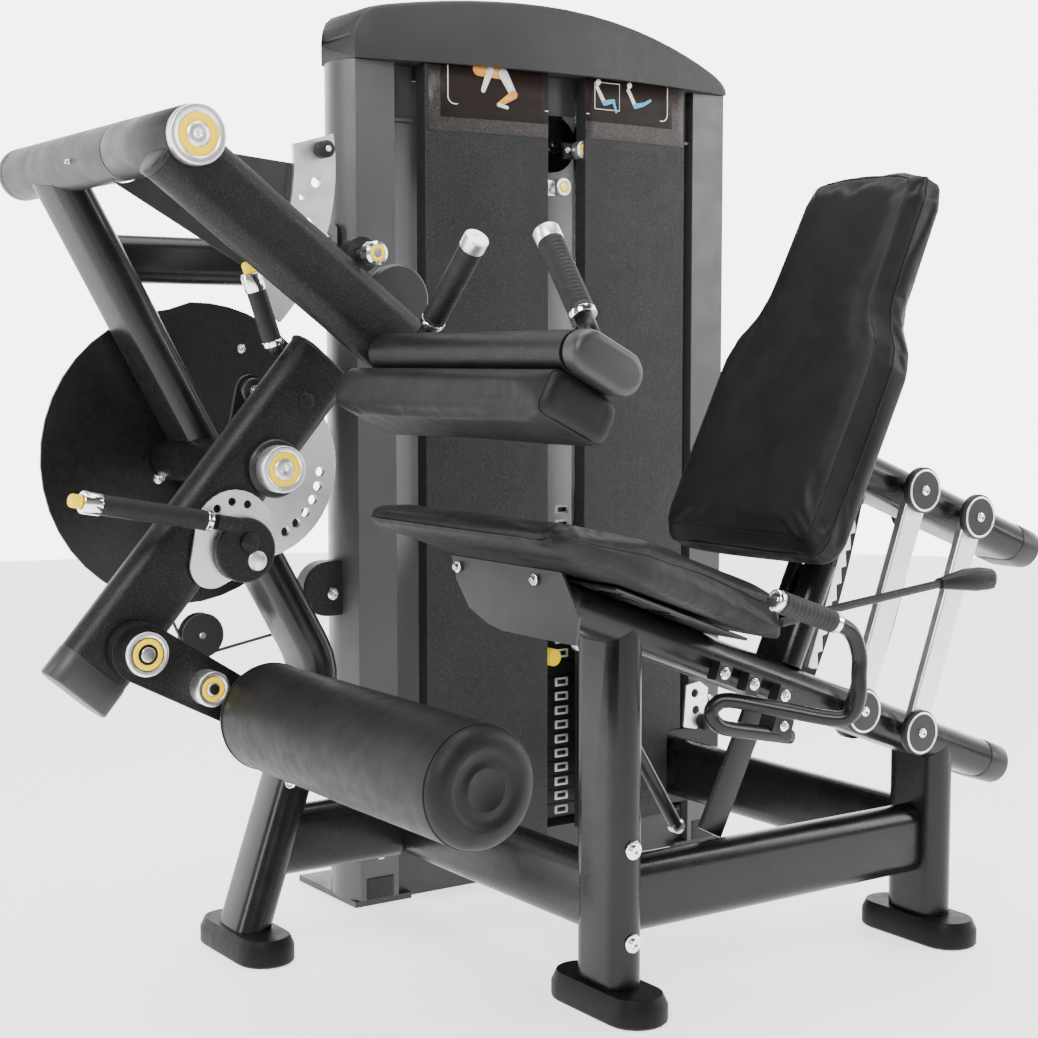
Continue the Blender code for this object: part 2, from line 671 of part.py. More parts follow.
def make_tower_cap():
    """Arched top cover: its front bows out, and its ends follow the columns' outer sides."""
    middle = (CAP_X[0] + CAP_X[1]) / 2
    half = (CAP_X[1] - CAP_X[0]) / 2
    rings = []
    for step in range(CAP_STEPS + 1):
        across = -cos(pi * step / CAP_STEPS)
        x = middle + half * across
        top = cap_height(x)
        front = CAP_Y[0] + CAP_FRONT_BOW * across ** 2
        back = CAP_Y[1] - CAP_BACK_BOW * across ** 6
        section = [(front, CAP_BOTTOM_Z), (back, CAP_BOTTOM_Z), (back, top - CAP_LIP),
                   (back - CAP_LIP * 0.3, top - CAP_LIP * 0.3), (back - CAP_LIP, top),
                   (front + CAP_LIP, top), (front + CAP_LIP * 0.3, top - CAP_LIP * 0.3),
                   (front, top - CAP_LIP)]
        ring = []
        for y, z in section:
            depth = (y - front) / (back - front)
            ring.append((x + COLUMN_BOW * sin(pi * depth) * across ** 3, y, z))
        rings.append(ring)
    add("tower_cap", loft(rings), CAP_GREY, pivot=(middle, TOWER_FRONT_Y, CAP_BOTTOM_Z))


def shroud_ring(inner, outer, z):
    """Plan of a front panel: a gently bowed sheet with both edges turned back."""
    front = []
    for step in range(SHROUD_STEPS + 1):
        t = step / SHROUD_STEPS
        front.append((inner + (outer - inner) * t, SHROUD_Y + SHROUD_BOW * t * t))
    path = [(inner, SHROUD_Y + SHROUD_RETURN)] + front + [(outer, SHROUD_Y + SHROUD_BOW + SHROUD_RETURN)]
    side = 1 if outer > inner else -1
    inside = [(inner + side * SHEET, SHROUD_Y + SHROUD_RETURN)]
    for x, y in front:
        x = min(max(x, min(inner, outer) + SHEET), max(inner, outer) - SHEET)
        inside.append((x, y + SHEET))
    inside.append((outer - side * SHEET, SHROUD_Y + SHROUD_BOW + SHROUD_RETURN))
    return [(x, y, z) for x, y in path + inside[::-1]]


def make_shrouds():
    for name, side in (("left_shroud", -1), ("right_shroud", 1)):
        inner = SLOT_X + side * SLOT_HALF
        outer = SLOT_X + side * SHROUD_HALF
        rings = [shroud_ring(inner, outer, z) for z in (SHROUD_Z0, TOWER_TOP_Z - GAP)]
        shroud = add(name, loft(rings), SHROUD, pivot=(inner, SHROUD_Y, SHROUD_Z0))
    boolean(shroud, add("flange_notch", box((FLANGE_X[0] - 0.006, 0.60, FLANGE_Z[0] - 0.006),
                                            (FLANGE_X[1], 0.75, FLANGE_Z[1] + 0.006)),
                        None, cutter=True))
    left, right = REAR_SHROUD_X
    front = TOWER_FRONT_Y + COLUMN_D + GAP
    plan = [(left, front), (left + SHEET, front), (left + SHEET, REAR_SHROUD_Y - SHEET),
            (right - SHEET, REAR_SHROUD_Y - SHEET), (right - SHEET, front), (right, front),
            (right, REAR_SHROUD_Y), (left, REAR_SHROUD_Y)]
    rings = [[(x, y, z) for x, y in plan] for z in (SHROUD_Z0, TOWER_TOP_Z - GAP)]
    add("rear_shroud", loft(rings), REAR_PANEL, pivot=(left, front, SHROUD_Z0))


def plate_rings(z, count, shrink=0.0015, groove=0.0015):
    """Rings of a stack of plates, with a fine groove between neighbours."""
    rings = []
    full = rounded(PLATE_SIZE[0], PLATE_SIZE[1], 0.008, 2)
    waist = rounded(PLATE_SIZE[0] - 2 * shrink, PLATE_SIZE[1] - 2 * shrink, 0.007, 2)
    for number in range(count):
        low = z + number * PLATE_PITCH
        top = low + PLATE_PITCH
        levels = [(full, low), (full, top - groove)]
        if number < count - 1:
            levels += [(waist, top - groove), (waist, top)]
        for outline, level in levels:
            rings.append(place_outline(outline, (STACK_X, STACK_Y, level), (1, 0, 0), (0, 1, 0)))
    return rings


def make_stack():
    holes = []
    for number, side in enumerate((-1, 1)):
        origin = (STACK_X + side * ROD_SPACING / 2, STACK_Y, 0.0)
        holes.append(add(f"rod_hole_{number}", turned([(0, ROD_R + 0.0015), (1.0, ROD_R + 0.0015)],
                                                      origin, (0, 0, 1), 16), None, cutter=True))
    rest = add("rest_plates", loft(plate_rings(STACK_Z, REST_PLATES)), IRON,
               pivot=(STACK_X, STACK_Y, STACK_Z))
    lifted_z = STACK_Z + REST_PLATES * PLATE_PITCH
    lifted = add("lifted_plates", loft(plate_rings(lifted_z, LIFTED_PLATES)), IRON,
                 pivot=(STACK_X, STACK_Y, lifted_z))
    head_z = lifted_z + LIFTED_PLATES * PLATE_PITCH - 0.004
    head = add("stack_head_block", turned([(0, 0.022), (0.030, 0.022), (0.036, 0.014), (0.075, 0.014)],
                                          (STACK_X, STACK_Y, head_z), (0, 0, 1), 16), None, cutter=True)
    boolean(lifted, head, "UNION")
    for hole in holes:
        boolean(rest, hole)
        boolean(lifted, hole)
    pin_z = lifted_z + PLATE_PITCH / 2
    face_y = STACK_Y - PLATE_SIZE[1] / 2
    hole = add("pin_hole", turned([(0, PIN_R + 0.001), (0.08, PIN_R + 0.001)],
                                  (STACK_X, face_y - 0.02, pin_z)), None, cutter=True)
    boolean(lifted, hole)
    profile = [(0, 0.014), (0.004, 0.017), (0.026, 0.017), (0.030, 0.010), (0.0415, 0.010),
               (0.0415, PIN_R), (0.095, PIN_R)]
    origin = (STACK_X, face_y - 0.042, pin_z)
    add("selector_pin", turned(profile, origin, steps=16), YELLOW, pivot=origin)
    pulley = [(0, 0.055), (0.004, 0.055), (0.006, 0.046), (0.016, 0.046), (0.018, 0.055),
              (0.022, 0.055), (0.022, 0.010), (0, 0.010)]
    origin = (STACK_X + PULLEY_R, STACK_Y - 0.011, PULLEY_Z)
    add("crown_pulley", turned(pulley, origin, closed=True), PLASTIC, pivot=(origin[0], STACK_Y, origin[2]))


# ---------------------------------------------------------------- leg arm

def arm_point(along, aside=0.0, y=0.0):
    """A point of the leg arm: distances up the arm and square to it from the knee axis."""
    base = Vector((KNEE[0], y, KNEE[1]))
    return base + ARM_DIR * along + ARM_SIDE * aside


def make_leg_arm():
    knee = Vector((KNEE[0], 0, KNEE[1]))
    mid_y = sum(LEG_ARM_Y) / 2
    tube = add("leg_arm_tube", bar(arm_point(-LEG_ARM_DOWN, LEG_ARM_OFFSET, mid_y),
                                   arm_point(LEG_ARM_UP, LEG_ARM_OFFSET, mid_y),
                                   flat_oval(TUBE_LONG, TUBE_SHORT), ARM_SIDE, wall=WALL),
               TEXTURED, pivot=knee)
    boolean(tube, cylinder_cutter("arm_bore", KNEE, SHAFT_R + GAP, 0.3, 0.5))
    y = LEG_ARM_Y[0] - KNEE_CAP_H
    profile = [(0, 0.030), (0.004, KNEE_CAP_R), (KNEE_CAP_H - GAP, KNEE_CAP_R),
               (KNEE_CAP_H - GAP, SHAFT_R)]
    cam = CAM_Y - y
    profile += [(cam, SHAFT_R), (cam, CAM_R), (cam + 0.005, CAM_R), (cam + 0.007, CAM_R - CAM_GROOVE),
                (cam + 0.017, CAM_R - CAM_GROOVE), (cam + 0.019, CAM_R), (cam + 0.024, CAM_R),
                (cam + 0.024, SHAFT_R), (cam + 0.034, SHAFT_R)]
    add("knee_shaft", turned(profile, (KNEE[0], y, KNEE[1]), steps=32), CHROME, pivot=knee)
    make_selector_plate()
    make_arm_handles()


def make_selector_plate():
    """Indexing plate behind the arm: a hub that fans out to a row of holes."""
    outline = [(KNEE[0] + SELECTOR_HUB_R * cos(a), KNEE[1] + SELECTOR_HUB_R * sin(a))
               for a in arc_angles(70, 250, 8)]
    outline += [(KNEE[0] + SELECTOR_R * cos(a), KNEE[1] + SELECTOR_R * sin(a))
                for a in arc_angles(-78, 42, 14)]
    knee = (KNEE[0], 0, KNEE[1])
    plate = add("selector_plate", plate_y(outline, *SELECTOR_Y), CHROME, pivot=knee)
    boolean(plate, cylinder_cutter("selector_bore", KNEE, SHAFT_R + GAP, 0.3, 0.6))
    for number, angle in enumerate(arc_angles(-62, -6, SELECTOR_HOLES - 1)):
        centre = (KNEE[0] + SELECTOR_HOLE_AT * cos(angle), KNEE[1] + SELECTOR_HOLE_AT * sin(angle))
        origin = (centre[0], 0.4, centre[1])
        hole = add(f"selector_hole_{number}", turned([(0, 0.008), (0.1, 0.008)], origin, steps=12),
                   None, cutter=True)
        boolean(plate, hole)


def arc_angles(start, end, steps):
    return [radians(start + (end - start) * i / steps) for i in range(steps + 1)]


def handle_profile(length):
    """Steel stub, rubber grip and sleeve of a lever, hollow where the button sinks into its end."""
    return [(0, 0.011), (0.016, 0.011), (0.016, 0.0155), (length - 0.028, 0.0155),
            (length - 0.028, 0.0168), (length, 0.0168), (length, 0.0112), (length - 0.0075, 0.0112)]


def button_profile():
    return [(0, 0.0105), (0.014, 0.0105), (0.018, 0.008)]


def make_arm_handles():
    knee = (KNEE[0], 0, KNEE[1])
    root, tip = Vector(START_HANDLE[0]), Vector(START_HANDLE[1])
    along = (tip - root).normalized()
    length = (tip - root).length - 0.018
    handle = turned(handle_profile(length), root, along, 16)
    add("start_handle", handle, CHROME, pivot=knee)
    add("start_button", turned(button_profile(), root + along * (length + GAP), along, 12), YELLOW,
        pivot=root + along * length)
    root, tip = Vector(RANGE_HANDLE[0]), Vector(RANGE_HANDLE[1])
    along = (tip - root).normalized()
    length = (tip - root).length - 0.018
    centre = Vector((RANGE_CENTRE[0], root.y, RANGE_CENTRE[1]))
    plate_outline = [(centre.x + RANGE_R * cos(a), centre.z + RANGE_R * sin(a))
                     for a in arc_angles(0, 345, 23)]
    handle = add("range_handle", plate_y(plate_outline, RANGE_PLATE_Y[0], RANGE_PLATE_Y[1]), TEXTURED,
                 pivot=knee)
    block = add("range_block", soft_box((root.x - 0.004, root.y - 0.014, root.z - 0.016),
                                        (root.x + 0.040, RANGE_PLATE_Y[0] + 0.002, root.z + 0.016),
                                        0.004, 2), None, cutter=True)
    grip = add("range_grip", turned(handle_profile(length), root + along * -0.002, along, 16), None,
               cutter=True)
    boolean(handle, block, "UNION")
    boolean(handle, grip, "UNION")
    add("range_button", turned(button_profile(), root + along * (length - 0.002 + GAP), along, 12),
        YELLOW, pivot=root + along * length)


def make_roller():
    pivot = (LINK_PIVOT[0], 0, LINK_PIVOT[1])
    link = add("roller_link", plate_y(capsule_outline(LINK_PIVOT, ROLLER, 0.046, 0.036, 10), *LINK_Y),
               TEXTURED, pivot=pivot)
    axle = add("roller_axle", turned([(0, 0.012), (LINK_Y[0] + 0.004 - AXLE_Y, 0.012)],
                                     (ROLLER[0], AXLE_Y, ROLLER[1]), steps=16), None, cutter=True)
    cap = add("link_cap", turned([(0, 0.026), (0.004, LINK_CAP_R), (0.030, LINK_CAP_R)],
                                 (LINK_PIVOT[0], LINK_Y[0] - 0.026, LINK_PIVOT[1])), None, cutter=True)
    boolean(link, axle, "UNION")
    boolean(link, cap, "UNION")
    length = ROLLER_Y[1] - ROLLER_Y[0]
    bore = 0.0132
    profile = [(0, ROLLER_R - 0.022), (0.006, ROLLER_R - 0.008), (0.020, ROLLER_R),
               (length - 0.014, ROLLER_R), (length, ROLLER_R - 0.014), (length, bore),
               (AXLE_Y - ROLLER_Y[0] - 0.002, bore)]
    add("roller_pad", turned(profile, (ROLLER[0], ROLLER_Y[0], ROLLER[1]), steps=32), LEATHER,
        pivot=(ROLLER[0], 0, ROLLER[1]))


# ---------------------------------------------------------------- thigh arm

def make_thigh_arm():
    pivot = Vector((THIGH[0], 0, THIGH[1]))
    origin = (THIGH[0], THIGH_HUB_Y[0], THIGH[1])
    length = THIGH_HUB_Y[1] - THIGH_HUB_Y[0]
    profile = [(0, 0.030), (0.005, PIVOT_TUBE_R - 0.001), (0.014, PIVOT_TUBE_R - 0.001),
               (0.014, PIVOT_TUBE_R), (length, PIVOT_TUBE_R)]
    add("thigh_hub", turned(profile, origin), TEXTURED, pivot=pivot)
    mid_y = sum(THIGH_ARM_Y) / 2
    start = Vector((THIGH_ARM_START[0], mid_y, THIGH_ARM_START[1]))
    tube = add("thigh_arm_tube", bar(start, start + THIGH_DIR * THIGH_ARM_LENGTH,
                                     flat_oval(THIGH_ARM_TALL, TUBE_SHORT), THIGH_UP, wall=WALL),
               TEXTURED, pivot=pivot)
    boolean(tube, cylinder_cutter("hub_cope", THIGH, PIVOT_TUBE_R + GAP, 0.1, 0.6))
    cross = Vector((CROSS[0], 0, CROSS[1]))
    board = cross - CROSS_UP * (TUBE_SHORT / 2)
    trim = add("pad_trim", loft([[board + CROSS_DIR * a + CROSS_UP * b + Vector((0, y, 0))
                                  for a, b in ((-0.3, 0.0), (0.3, 0.0), (0.3, -0.2), (-0.3, -0.2))]
                                 for y in (0.1, 0.4)]), None, cutter=True)
    boolean(tube, trim)
    origin = lock_place(LOCK_ANGLES[0], LOCK_BUSH_Y[0])
    bush = turned(ring_profile(LOCK_BUSH_Y[1] - LOCK_BUSH_Y[0], LOCK_BUSH_R, 0.0075), origin, closed=True)
    boolean(tube, add("lock_bush", bush, None, cutter=True), "UNION")
    add("cross_tube", bar((CROSS[0], CROSS_Y[0], CROSS[1]), (CROSS[0], CROSS_Y[1], CROSS[1]),
                          flat_oval(TUBE_LONG, TUBE_SHORT), CROSS_DIR, wall=WALL), TEXTURED, pivot=pivot)
    make_thigh_pad(cross, pivot)
    for name, root_y, tip_y in (("near_grip", *NEAR_GRIP_Y), ("far_grip", *FAR_GRIP_Y)):
        root = cross + CROSS_UP * (TUBE_SHORT / 2 + GAP) + Vector((0, root_y, 0))
        tip = Vector((CROSS[0] + 0.020, tip_y, GRIP_TOP_Z))
        along = (tip - root).normalized()
        reach = (tip - root).length
        stem = bar(root, root + along * 0.045, circle(0.0125, 16), CROSS_DIR, start_normal=CROSS_UP)
        grip = add(name, stem, RUBBER, pivot=pivot)
        sleeve = add(name + "_sleeve", turned([(0, 0.019), (reach - 0.042, 0.019)],
                                              root + along * 0.042, along, 16), None, cutter=True)
        boolean(grip, sleeve, "UNION")
    make_lock(pivot)


def make_thigh_pad(cross, pivot):
    centre = cross - CROSS_UP * (TUBE_SHORT / 2 + GAP + THIGH_PAD_SIZE[1] / 2)
    rings = []
    for y, shrink in ((THIGH_PAD_Y[0], 0.010), (THIGH_PAD_Y[0] + 0.010, 0.0),
                      (THIGH_PAD_Y[1] - 0.010, 0.0), (THIGH_PAD_Y[1], 0.010)):
        outline = rounded(THIGH_PAD_SIZE[0] - 2 * shrink, THIGH_PAD_SIZE[1] - 2 * shrink, 0.016, 3)
        rings.append(place_outline(outline, centre + Vector((0, y, 0)), CROSS_DIR, CROSS_UP))
    add("thigh_pad", loft(rings), LEATHER, pivot=pivot)


def lock_place(angle, y, radius=LOCK_RADIUS):
    return Vector((THIGH[0] + radius * cos(radians(angle)), y, THIGH[1] + radius * sin(radians(angle))))


def make_lock(pivot):
    """The sprung pin on the thigh arm, and the fixed plate with its row of holes."""
    origin = lock_place(LOCK_ANGLES[0], LOCK_PIN_Y[0])
    profile = [(0, 0.014), (0.003, 0.0185), (0.022, 0.0185), (0.026, 0.013), (0.045, 0.013),
               (0.045, 0.006), (LOCK_PIN_Y[1] - LOCK_PIN_Y[0], 0.006)]
    add("lock_pin", turned(profile, origin, steps=16), CHROME, pivot=origin)
    outline = [tuple(lock_place(a, 0, 0.365).xz) for a in range(-44, 9, 4)]
    outline += [tuple(lock_place(a, 0, 0.365 - 0.075).xz) for a in (6, 4)]
    outline += [tuple(lock_place(a, 0, PIVOT_TUBE_R + 0.001).xz) for a in range(40, -121, -20)]
    outline += [tuple(lock_place(a, 0, 0.290).xz) for a in (-44,)]
    plate = add("sector_plate", plate_y(outline, *SECTOR_Y), CHROME, pivot=pivot)
    for number, angle in enumerate(LOCK_ANGLES):
        hole = add(f"lock_hole_{number}", turned([(0, 0.0085), (0.1, 0.0085)],
                                                 lock_place(angle, SECTOR_Y[0] - 0.05), steps=12),
                   None, cutter=True)
        boolean(plate, hole)


# ---------------------------------------------------------------- seat and backrest

def make_seat():
    rings = []
    for x, half_width, top, bottom in SEAT_STATIONS:
        outline = rounded(2 * half_width, top - bottom, SEAT_EDGE_R, 2)
        rings.append(place_outline(outline, (x, SEAT_Y, (top + bottom) / 2), (0, 1, 0), (0, 0, 1)))
    add("seat_pad", loft(rings), LEATHER, pivot=(0, SEAT_Y, rail_height(0)))
    board_low = rail_point(SEAT_BOARD_X[0], SEAT_RAIL_SHORT / 2 + GAP)
    board_high = rail_point(SEAT_BOARD_X[1], SEAT_RAIL_SHORT / 2 + GAP)
    outline = rounded(SEAT_BOARD_W, SEAT_BOARD_H, 0.0015, 1)
    lift = RAIL_UP * (SEAT_BOARD_H / 2)
    add("seat_board", bar(board_low + lift, board_high + lift, outline, (0, 1, 0)), FRAME_BLACK,
        pivot=board_low)
    shield = [(-0.205, 0.650), (-0.165, 0.708), (0.118, 0.708), (0.105, 0.672), (0.070, 0.633),
              (0.020, 0.615), (-0.020, 0.609), (-0.198, 0.609)]
    rings = [[(x, y, z) for y, z in shield] for x in (SHIELD_X, SHIELD_X + 0.005)]
    add("leg_shield", loft(rings), GREY_PAINT, pivot=(SHIELD_X, 0, 0.65))
    handle = bent_tube([Vector(p) for p in SEAT_HANDLE], 0.0125, 10)
    add("seat_handle", handle, FRAME_BLACK, pivot=SEAT_HANDLE[0])


def link_bars(name, foot, finish):
    """A pair of bars joined by the two axles that run through both rails."""
    foot = Vector((foot.x, 0, foot.z))
    top = foot + Vector((LINK_VECTOR[0], 0, LINK_VECTOR[1]))
    outline = strap_outline(foot.xz, top.xz, LINK_BOSS_R, LINK_HALF_W)
    half = TUBE_LONG / 2 + GAP
    link = add(name, plate_y(outline, -half - LINK_T, -half), finish, pivot=foot)
    far = add(name + "_far", plate_y(outline, half, half + LINK_T), None, cutter=True)
    boolean(link, far, "UNION")
    for end, centre in (("low", foot), ("high", top)):
        axle = add(f"{name}_{end}", turned([(0, LINK_AXLE_R), (2 * half + LINK_T, LINK_AXLE_R)],
                                           (centre.x, -half - LINK_T / 2, centre.z), steps=16),
                   None, cutter=True)
        boolean(link, axle, "UNION")


def strap_outline(foot, top, boss, half_width):
    """Two round ends joined by a narrower strap, as (x, z)."""
    foot, top = Vector(foot), Vector(top)
    along = (top - foot).normalized()
    side = Vector((-along.y, along.x))
    reach = boss * 1.25
    points = [foot + (along * cos(a) + side * sin(a)) * boss for a in arc_angles(35, 325, 12)]
    points += [foot + along * reach - side * half_width, top - along * reach - side * half_width]
    points += [top + (along * cos(a) + side * sin(a)) * boss for a in arc_angles(215, 505, 12)]
    points += [top - along * reach + side * half_width, foot + along * reach + side * half_width]
    return [tuple(p) for p in points]


def make_links():
    for name, x in zip(("rear_links", "middle_links"), reversed(LINK_FEET_X)):
        link_bars(name, rail_point(x), CHROME)
    foot = rail_point(BACK_POST_X, SEAT_RAIL_SHORT / 2 + GAP)
    top = foot + Vector(BACK_POST_VECTOR)
    oval = flat_oval(BACK_POST_SIZE[0], BACK_POST_SIZE[1])
    post = add("back_post", bar(foot, top, oval, (0, 1, 0), wall=WALL, start_normal=RAIL_UP,
                                end_normal=RAIL_UP), FRAME_BLACK, pivot=foot)
    slot = box((foot.x - 0.05, -RACK_SLOT, foot.z + 0.042), (foot.x + 0.20, RACK_SLOT, top.z + 0.05))
    boolean(post, add("rack_slot", slot, None, cutter=True))
    foot = rail_point(RACK_X, SEAT_RAIL_SHORT / 2 + 0.012)
    top = foot + Vector((LINK_VECTOR[0], 0, LINK_VECTOR[1])) * RACK_REACH
    along = (top - foot).normalized()
    side = Vector((along.z, 0, -along.x))
    outline = [foot - side * RACK_W / 2, foot + side * RACK_W / 2]
    step = (top - foot).length / RACK_TEETH
    for number in range(RACK_TEETH):
        root = foot + along * step * number + side * RACK_W / 2
        outline += [root + along * step * 0.15 + side * RACK_TOOTH, root + along * step * 0.95]
    outline.append(top - side * RACK_W / 2)
    rings = [[(p.x, y, p.z) for p in outline] for y in (-RACK_T / 2, RACK_T / 2)]
    add("rack_link", loft(rings), CHROME, pivot=foot)


def back_point(up, behind, y=0.0):
    """A point seen from the backrest's lower front edge: distance up it, and behind its face."""
    return Vector((BACK_FOOT[0], y, BACK_FOOT[1])) + BACK_DIR * up + BACK_NORMAL * behind


def make_backrest():
    """The upper rail, parallel to the seat rail, and the pad on its end."""
    offset = Vector((LINK_VECTOR[0], 0, LINK_VECTOR[1]))
    face = back_point(0.0, BACK_THICK + BACK_PLATE_T / 2)
    front = slide_to_plane([rail_point(0.2) + offset], RAIL_DIR, face, BACK_NORMAL)[0]
    rear = rail_point(BACK_RAIL_END_X - LINK_VECTOR[0]) + offset
    outline = flat_oval(TUBE_LONG, SEAT_RAIL_SHORT)
    rail = add("back_rail", bar(front, rear, outline, (0, 1, 0), wall=WALL,
                                start_normal=BACK_NORMAL), FRAME_BLACK,
               pivot=rail_point(LINK_FEET_X[1]) + offset)
    for number, x in enumerate(LINK_FEET_X):
        centre = rail_point(x) + offset
        boolean(rail, cylinder_cutter(f"back_bore_{number}", (centre.x, centre.z), LINK_BORE_R,
                                      -0.2, 0.2))
    plate = bar(back_point(BACK_PLATE_UP[0], BACK_THICK + BACK_PLATE_T / 2 + GAP),
                back_point(BACK_PLATE_UP[1], BACK_THICK + BACK_PLATE_T / 2 + GAP),
                rounded(BACK_PLATE_W, BACK_PLATE_T, 0.002, 1), (0, 1, 0))
    boolean(rail, add("back_plate", plate, None, cutter=True), "UNION")
    outline = BACK_OUTLINE + tuple((-w, h) for w, h in reversed(BACK_OUTLINE))
    half_height = BACK_HEIGHT / 2
    rings = []
    for behind, shrink in ((0.0, BACK_CHAMFER), (0.030, 0.0), (BACK_THICK - 0.010, 0.0), (BACK_THICK, 0.006)):
        across, up = 1 - shrink / BACK_HALF_W, 1 - shrink / half_height
        rings.append([back_point(half_height + (h - half_height) * up, behind, BACK_Y + w * across)
                      for w, h in outline])
    add("backrest_pad", loft(rings), LEATHER, pivot=back_point(half_height, 0.0, BACK_Y))


def make_release_lever():
    points = [Vector(p) for p in LEVER_ROD]
    rod = add("release_lever", bent_tube(points, 0.007, 8), TEXTURED, pivot=points[0])
    start = points[-1] - (points[-1] - points[-2]).normalized() * 0.01
    along = Vector((1.0, 0.0, LEVER_TILT)).normalized()
    up = Vector((-along.z, 0.0, along.x))
    rings = []
    for reach, width, height in ((0.0, 0.010, 0.008), (0.030, 0.016, 0.012), (0.070, 0.024, 0.017),
                                 (0.105, 0.024, 0.017), (0.120, 0.014, 0.009)):
        outline = rounded(2 * width, 2 * height, height * 0.6, 2)
        rings.append(place_outline(outline, start + along * reach, (0, 1, 0), up))
    paddle = add("lever_paddle", loft(rings), None, cutter=True)
    boolean(rod, paddle, "UNION")


# ---------------------------------------------------------------- cable and guards

def tangent(first, second):
    """Where a belt with both circles on its left touches them; circles are (x, z, radius)."""
    a, b = Vector(first[:2]), Vector(second[:2])
    gap = b - a
    heading = atan2(gap.y, gap.x)
    lean = atan2(second[2] - first[2], sqrt(gap.length ** 2 - (second[2] - first[2]) ** 2))
    angle = heading - pi / 2 - lean
    spoke = Vector((cos(angle), sin(angle)))
    return a + spoke * first[2], b + spoke * second[2], angle


def make_cable():
    """The belt-like cable from the cam, round the redirecting wheel, to the tower's wheel."""
    clear = CABLE_R + 0.0006
    circles = [(KNEE[0], KNEE[1], CAM_R - CAM_GROOVE + clear),
               (LOW_PULLEY[0], LOW_PULLEY[1], LOW_PULLEY_R - 0.008 + clear),
               (TOWER_PULLEY[0], TOWER_PULLEY[1], LOW_PULLEY_R - 0.008 + clear)]
    first = tangent(circles[0], circles[1])
    second = tangent(circles[1], circles[2])
    centre = Vector(circles[1][:2])
    path = [first[0], first[1]]
    for step in range(1, 6):
        angle = first[2] + (second[2] + (2 * pi if second[2] < first[2] else 0) - first[2]) * step / 6
        path.append(centre + Vector((cos(angle), sin(angle))) * circles[1][2])
    path += [second[0], second[1]]
    points = [Vector((p.x, CABLE_Y, p.y)) for p in path]
    add("arm_cable", bent_tube(points, CABLE_R, 8), RUBBER, pivot=points[0])
    origin = (STACK_X, STACK_Y, LIFT_CABLE_Z[0])
    add("lift_cable", turned([(0, CABLE_R), (LIFT_CABLE_Z[1] - LIFT_CABLE_Z[0], CABLE_R)], origin,
                             (0, 0, 1), 8), RUBBER, pivot=origin)


def make_guards():
    outline = [(GUARD[0] + GUARD_R * cos(a), GUARD[1] + GUARD_R * sin(a))
               for a in arc_angles(95, 355, 30)]
    outline += [(GUARD_UPPER[0] + GUARD_UPPER_R * cos(a), GUARD_UPPER[1] + GUARD_UPPER_R * sin(a))
                for a in arc_angles(22, 92, 9)]
    guard = add("cam_guard", plate_y(outline, *GUARD_Y), PLASTIC, pivot=(GUARD[0], GUARD_Y[0], GUARD[1]))
    boolean(guard, cylinder_cutter("guard_bore", KNEE, SHAFT_R + 0.002, 0.7, 0.8))
    wheel = [(0, LOW_PULLEY_R), (0.003, LOW_PULLEY_R), (0.006, LOW_PULLEY_R - 0.008),
             (0.016, LOW_PULLEY_R - 0.008), (0.019, LOW_PULLEY_R), (0.022, LOW_PULLEY_R),
             (0.022, 0.006), (0, 0.006)]
    origin = (LOW_PULLEY[0], CABLE_Y - 0.011, LOW_PULLEY[1])
    add("arm_pulley", turned(wheel, origin, closed=True), PLASTIC,
        pivot=(LOW_PULLEY[0], CABLE_Y, LOW_PULLEY[1]))


def build():
    clear_scene()
    rail_cut = rail_cutter()
    make_seat_rail()
    make_posts(rail_cut)
    make_floor_rails()
    make_arm_frame()
    make_feet()
    make_tower()
    make_stack()
    make_leg_arm()
    make_roller()
    make_thigh_arm()
    make_seat()
    make_links()
    make_backrest()
    make_release_lever()
    make_cable()
    make_guards()


build()
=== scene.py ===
"""Finished looks of the combined leg curl and leg extension machine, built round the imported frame.

Places are written as at(x, y, z), in metres from the floor under the middle of the front post, as the
frame gives it. The user sits facing -X, and the weight tower stands on the +Y side.
"""

import json
from math import atan, cos, pi, radians, sin

import bmesh
import bpy
from mathutils import Euler, Matrix, Vector


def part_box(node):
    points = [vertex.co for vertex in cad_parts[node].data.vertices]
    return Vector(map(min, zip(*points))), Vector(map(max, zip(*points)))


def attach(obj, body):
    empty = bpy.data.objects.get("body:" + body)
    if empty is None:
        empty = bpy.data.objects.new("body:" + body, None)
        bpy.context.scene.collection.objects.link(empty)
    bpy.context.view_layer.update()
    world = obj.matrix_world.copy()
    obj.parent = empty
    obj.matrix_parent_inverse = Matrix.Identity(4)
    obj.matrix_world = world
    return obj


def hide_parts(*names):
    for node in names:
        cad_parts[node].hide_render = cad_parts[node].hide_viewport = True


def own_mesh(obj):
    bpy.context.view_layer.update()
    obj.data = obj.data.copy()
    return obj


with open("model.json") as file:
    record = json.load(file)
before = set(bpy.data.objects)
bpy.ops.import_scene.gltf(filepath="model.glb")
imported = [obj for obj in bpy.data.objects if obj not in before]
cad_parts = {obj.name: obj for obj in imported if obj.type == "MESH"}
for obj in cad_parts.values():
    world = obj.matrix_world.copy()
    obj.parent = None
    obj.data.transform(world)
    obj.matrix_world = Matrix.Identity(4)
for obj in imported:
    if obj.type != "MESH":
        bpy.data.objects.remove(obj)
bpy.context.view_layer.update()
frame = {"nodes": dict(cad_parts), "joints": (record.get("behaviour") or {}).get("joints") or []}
NODES = frame["nodes"]
JOINTS = {joint["name"]: joint for joint in frame["joints"]}

# The floor under the front post's middle, from which places are measured.
POST_LOW, POST_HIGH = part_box("front_post")
ZERO = Vector(((POST_LOW.x + POST_HIGH.x) / 2, (POST_LOW.y + POST_HIGH.y) / 2, 0.0))


def at(x, y, z):
    return ZERO + Vector((x, y, z))


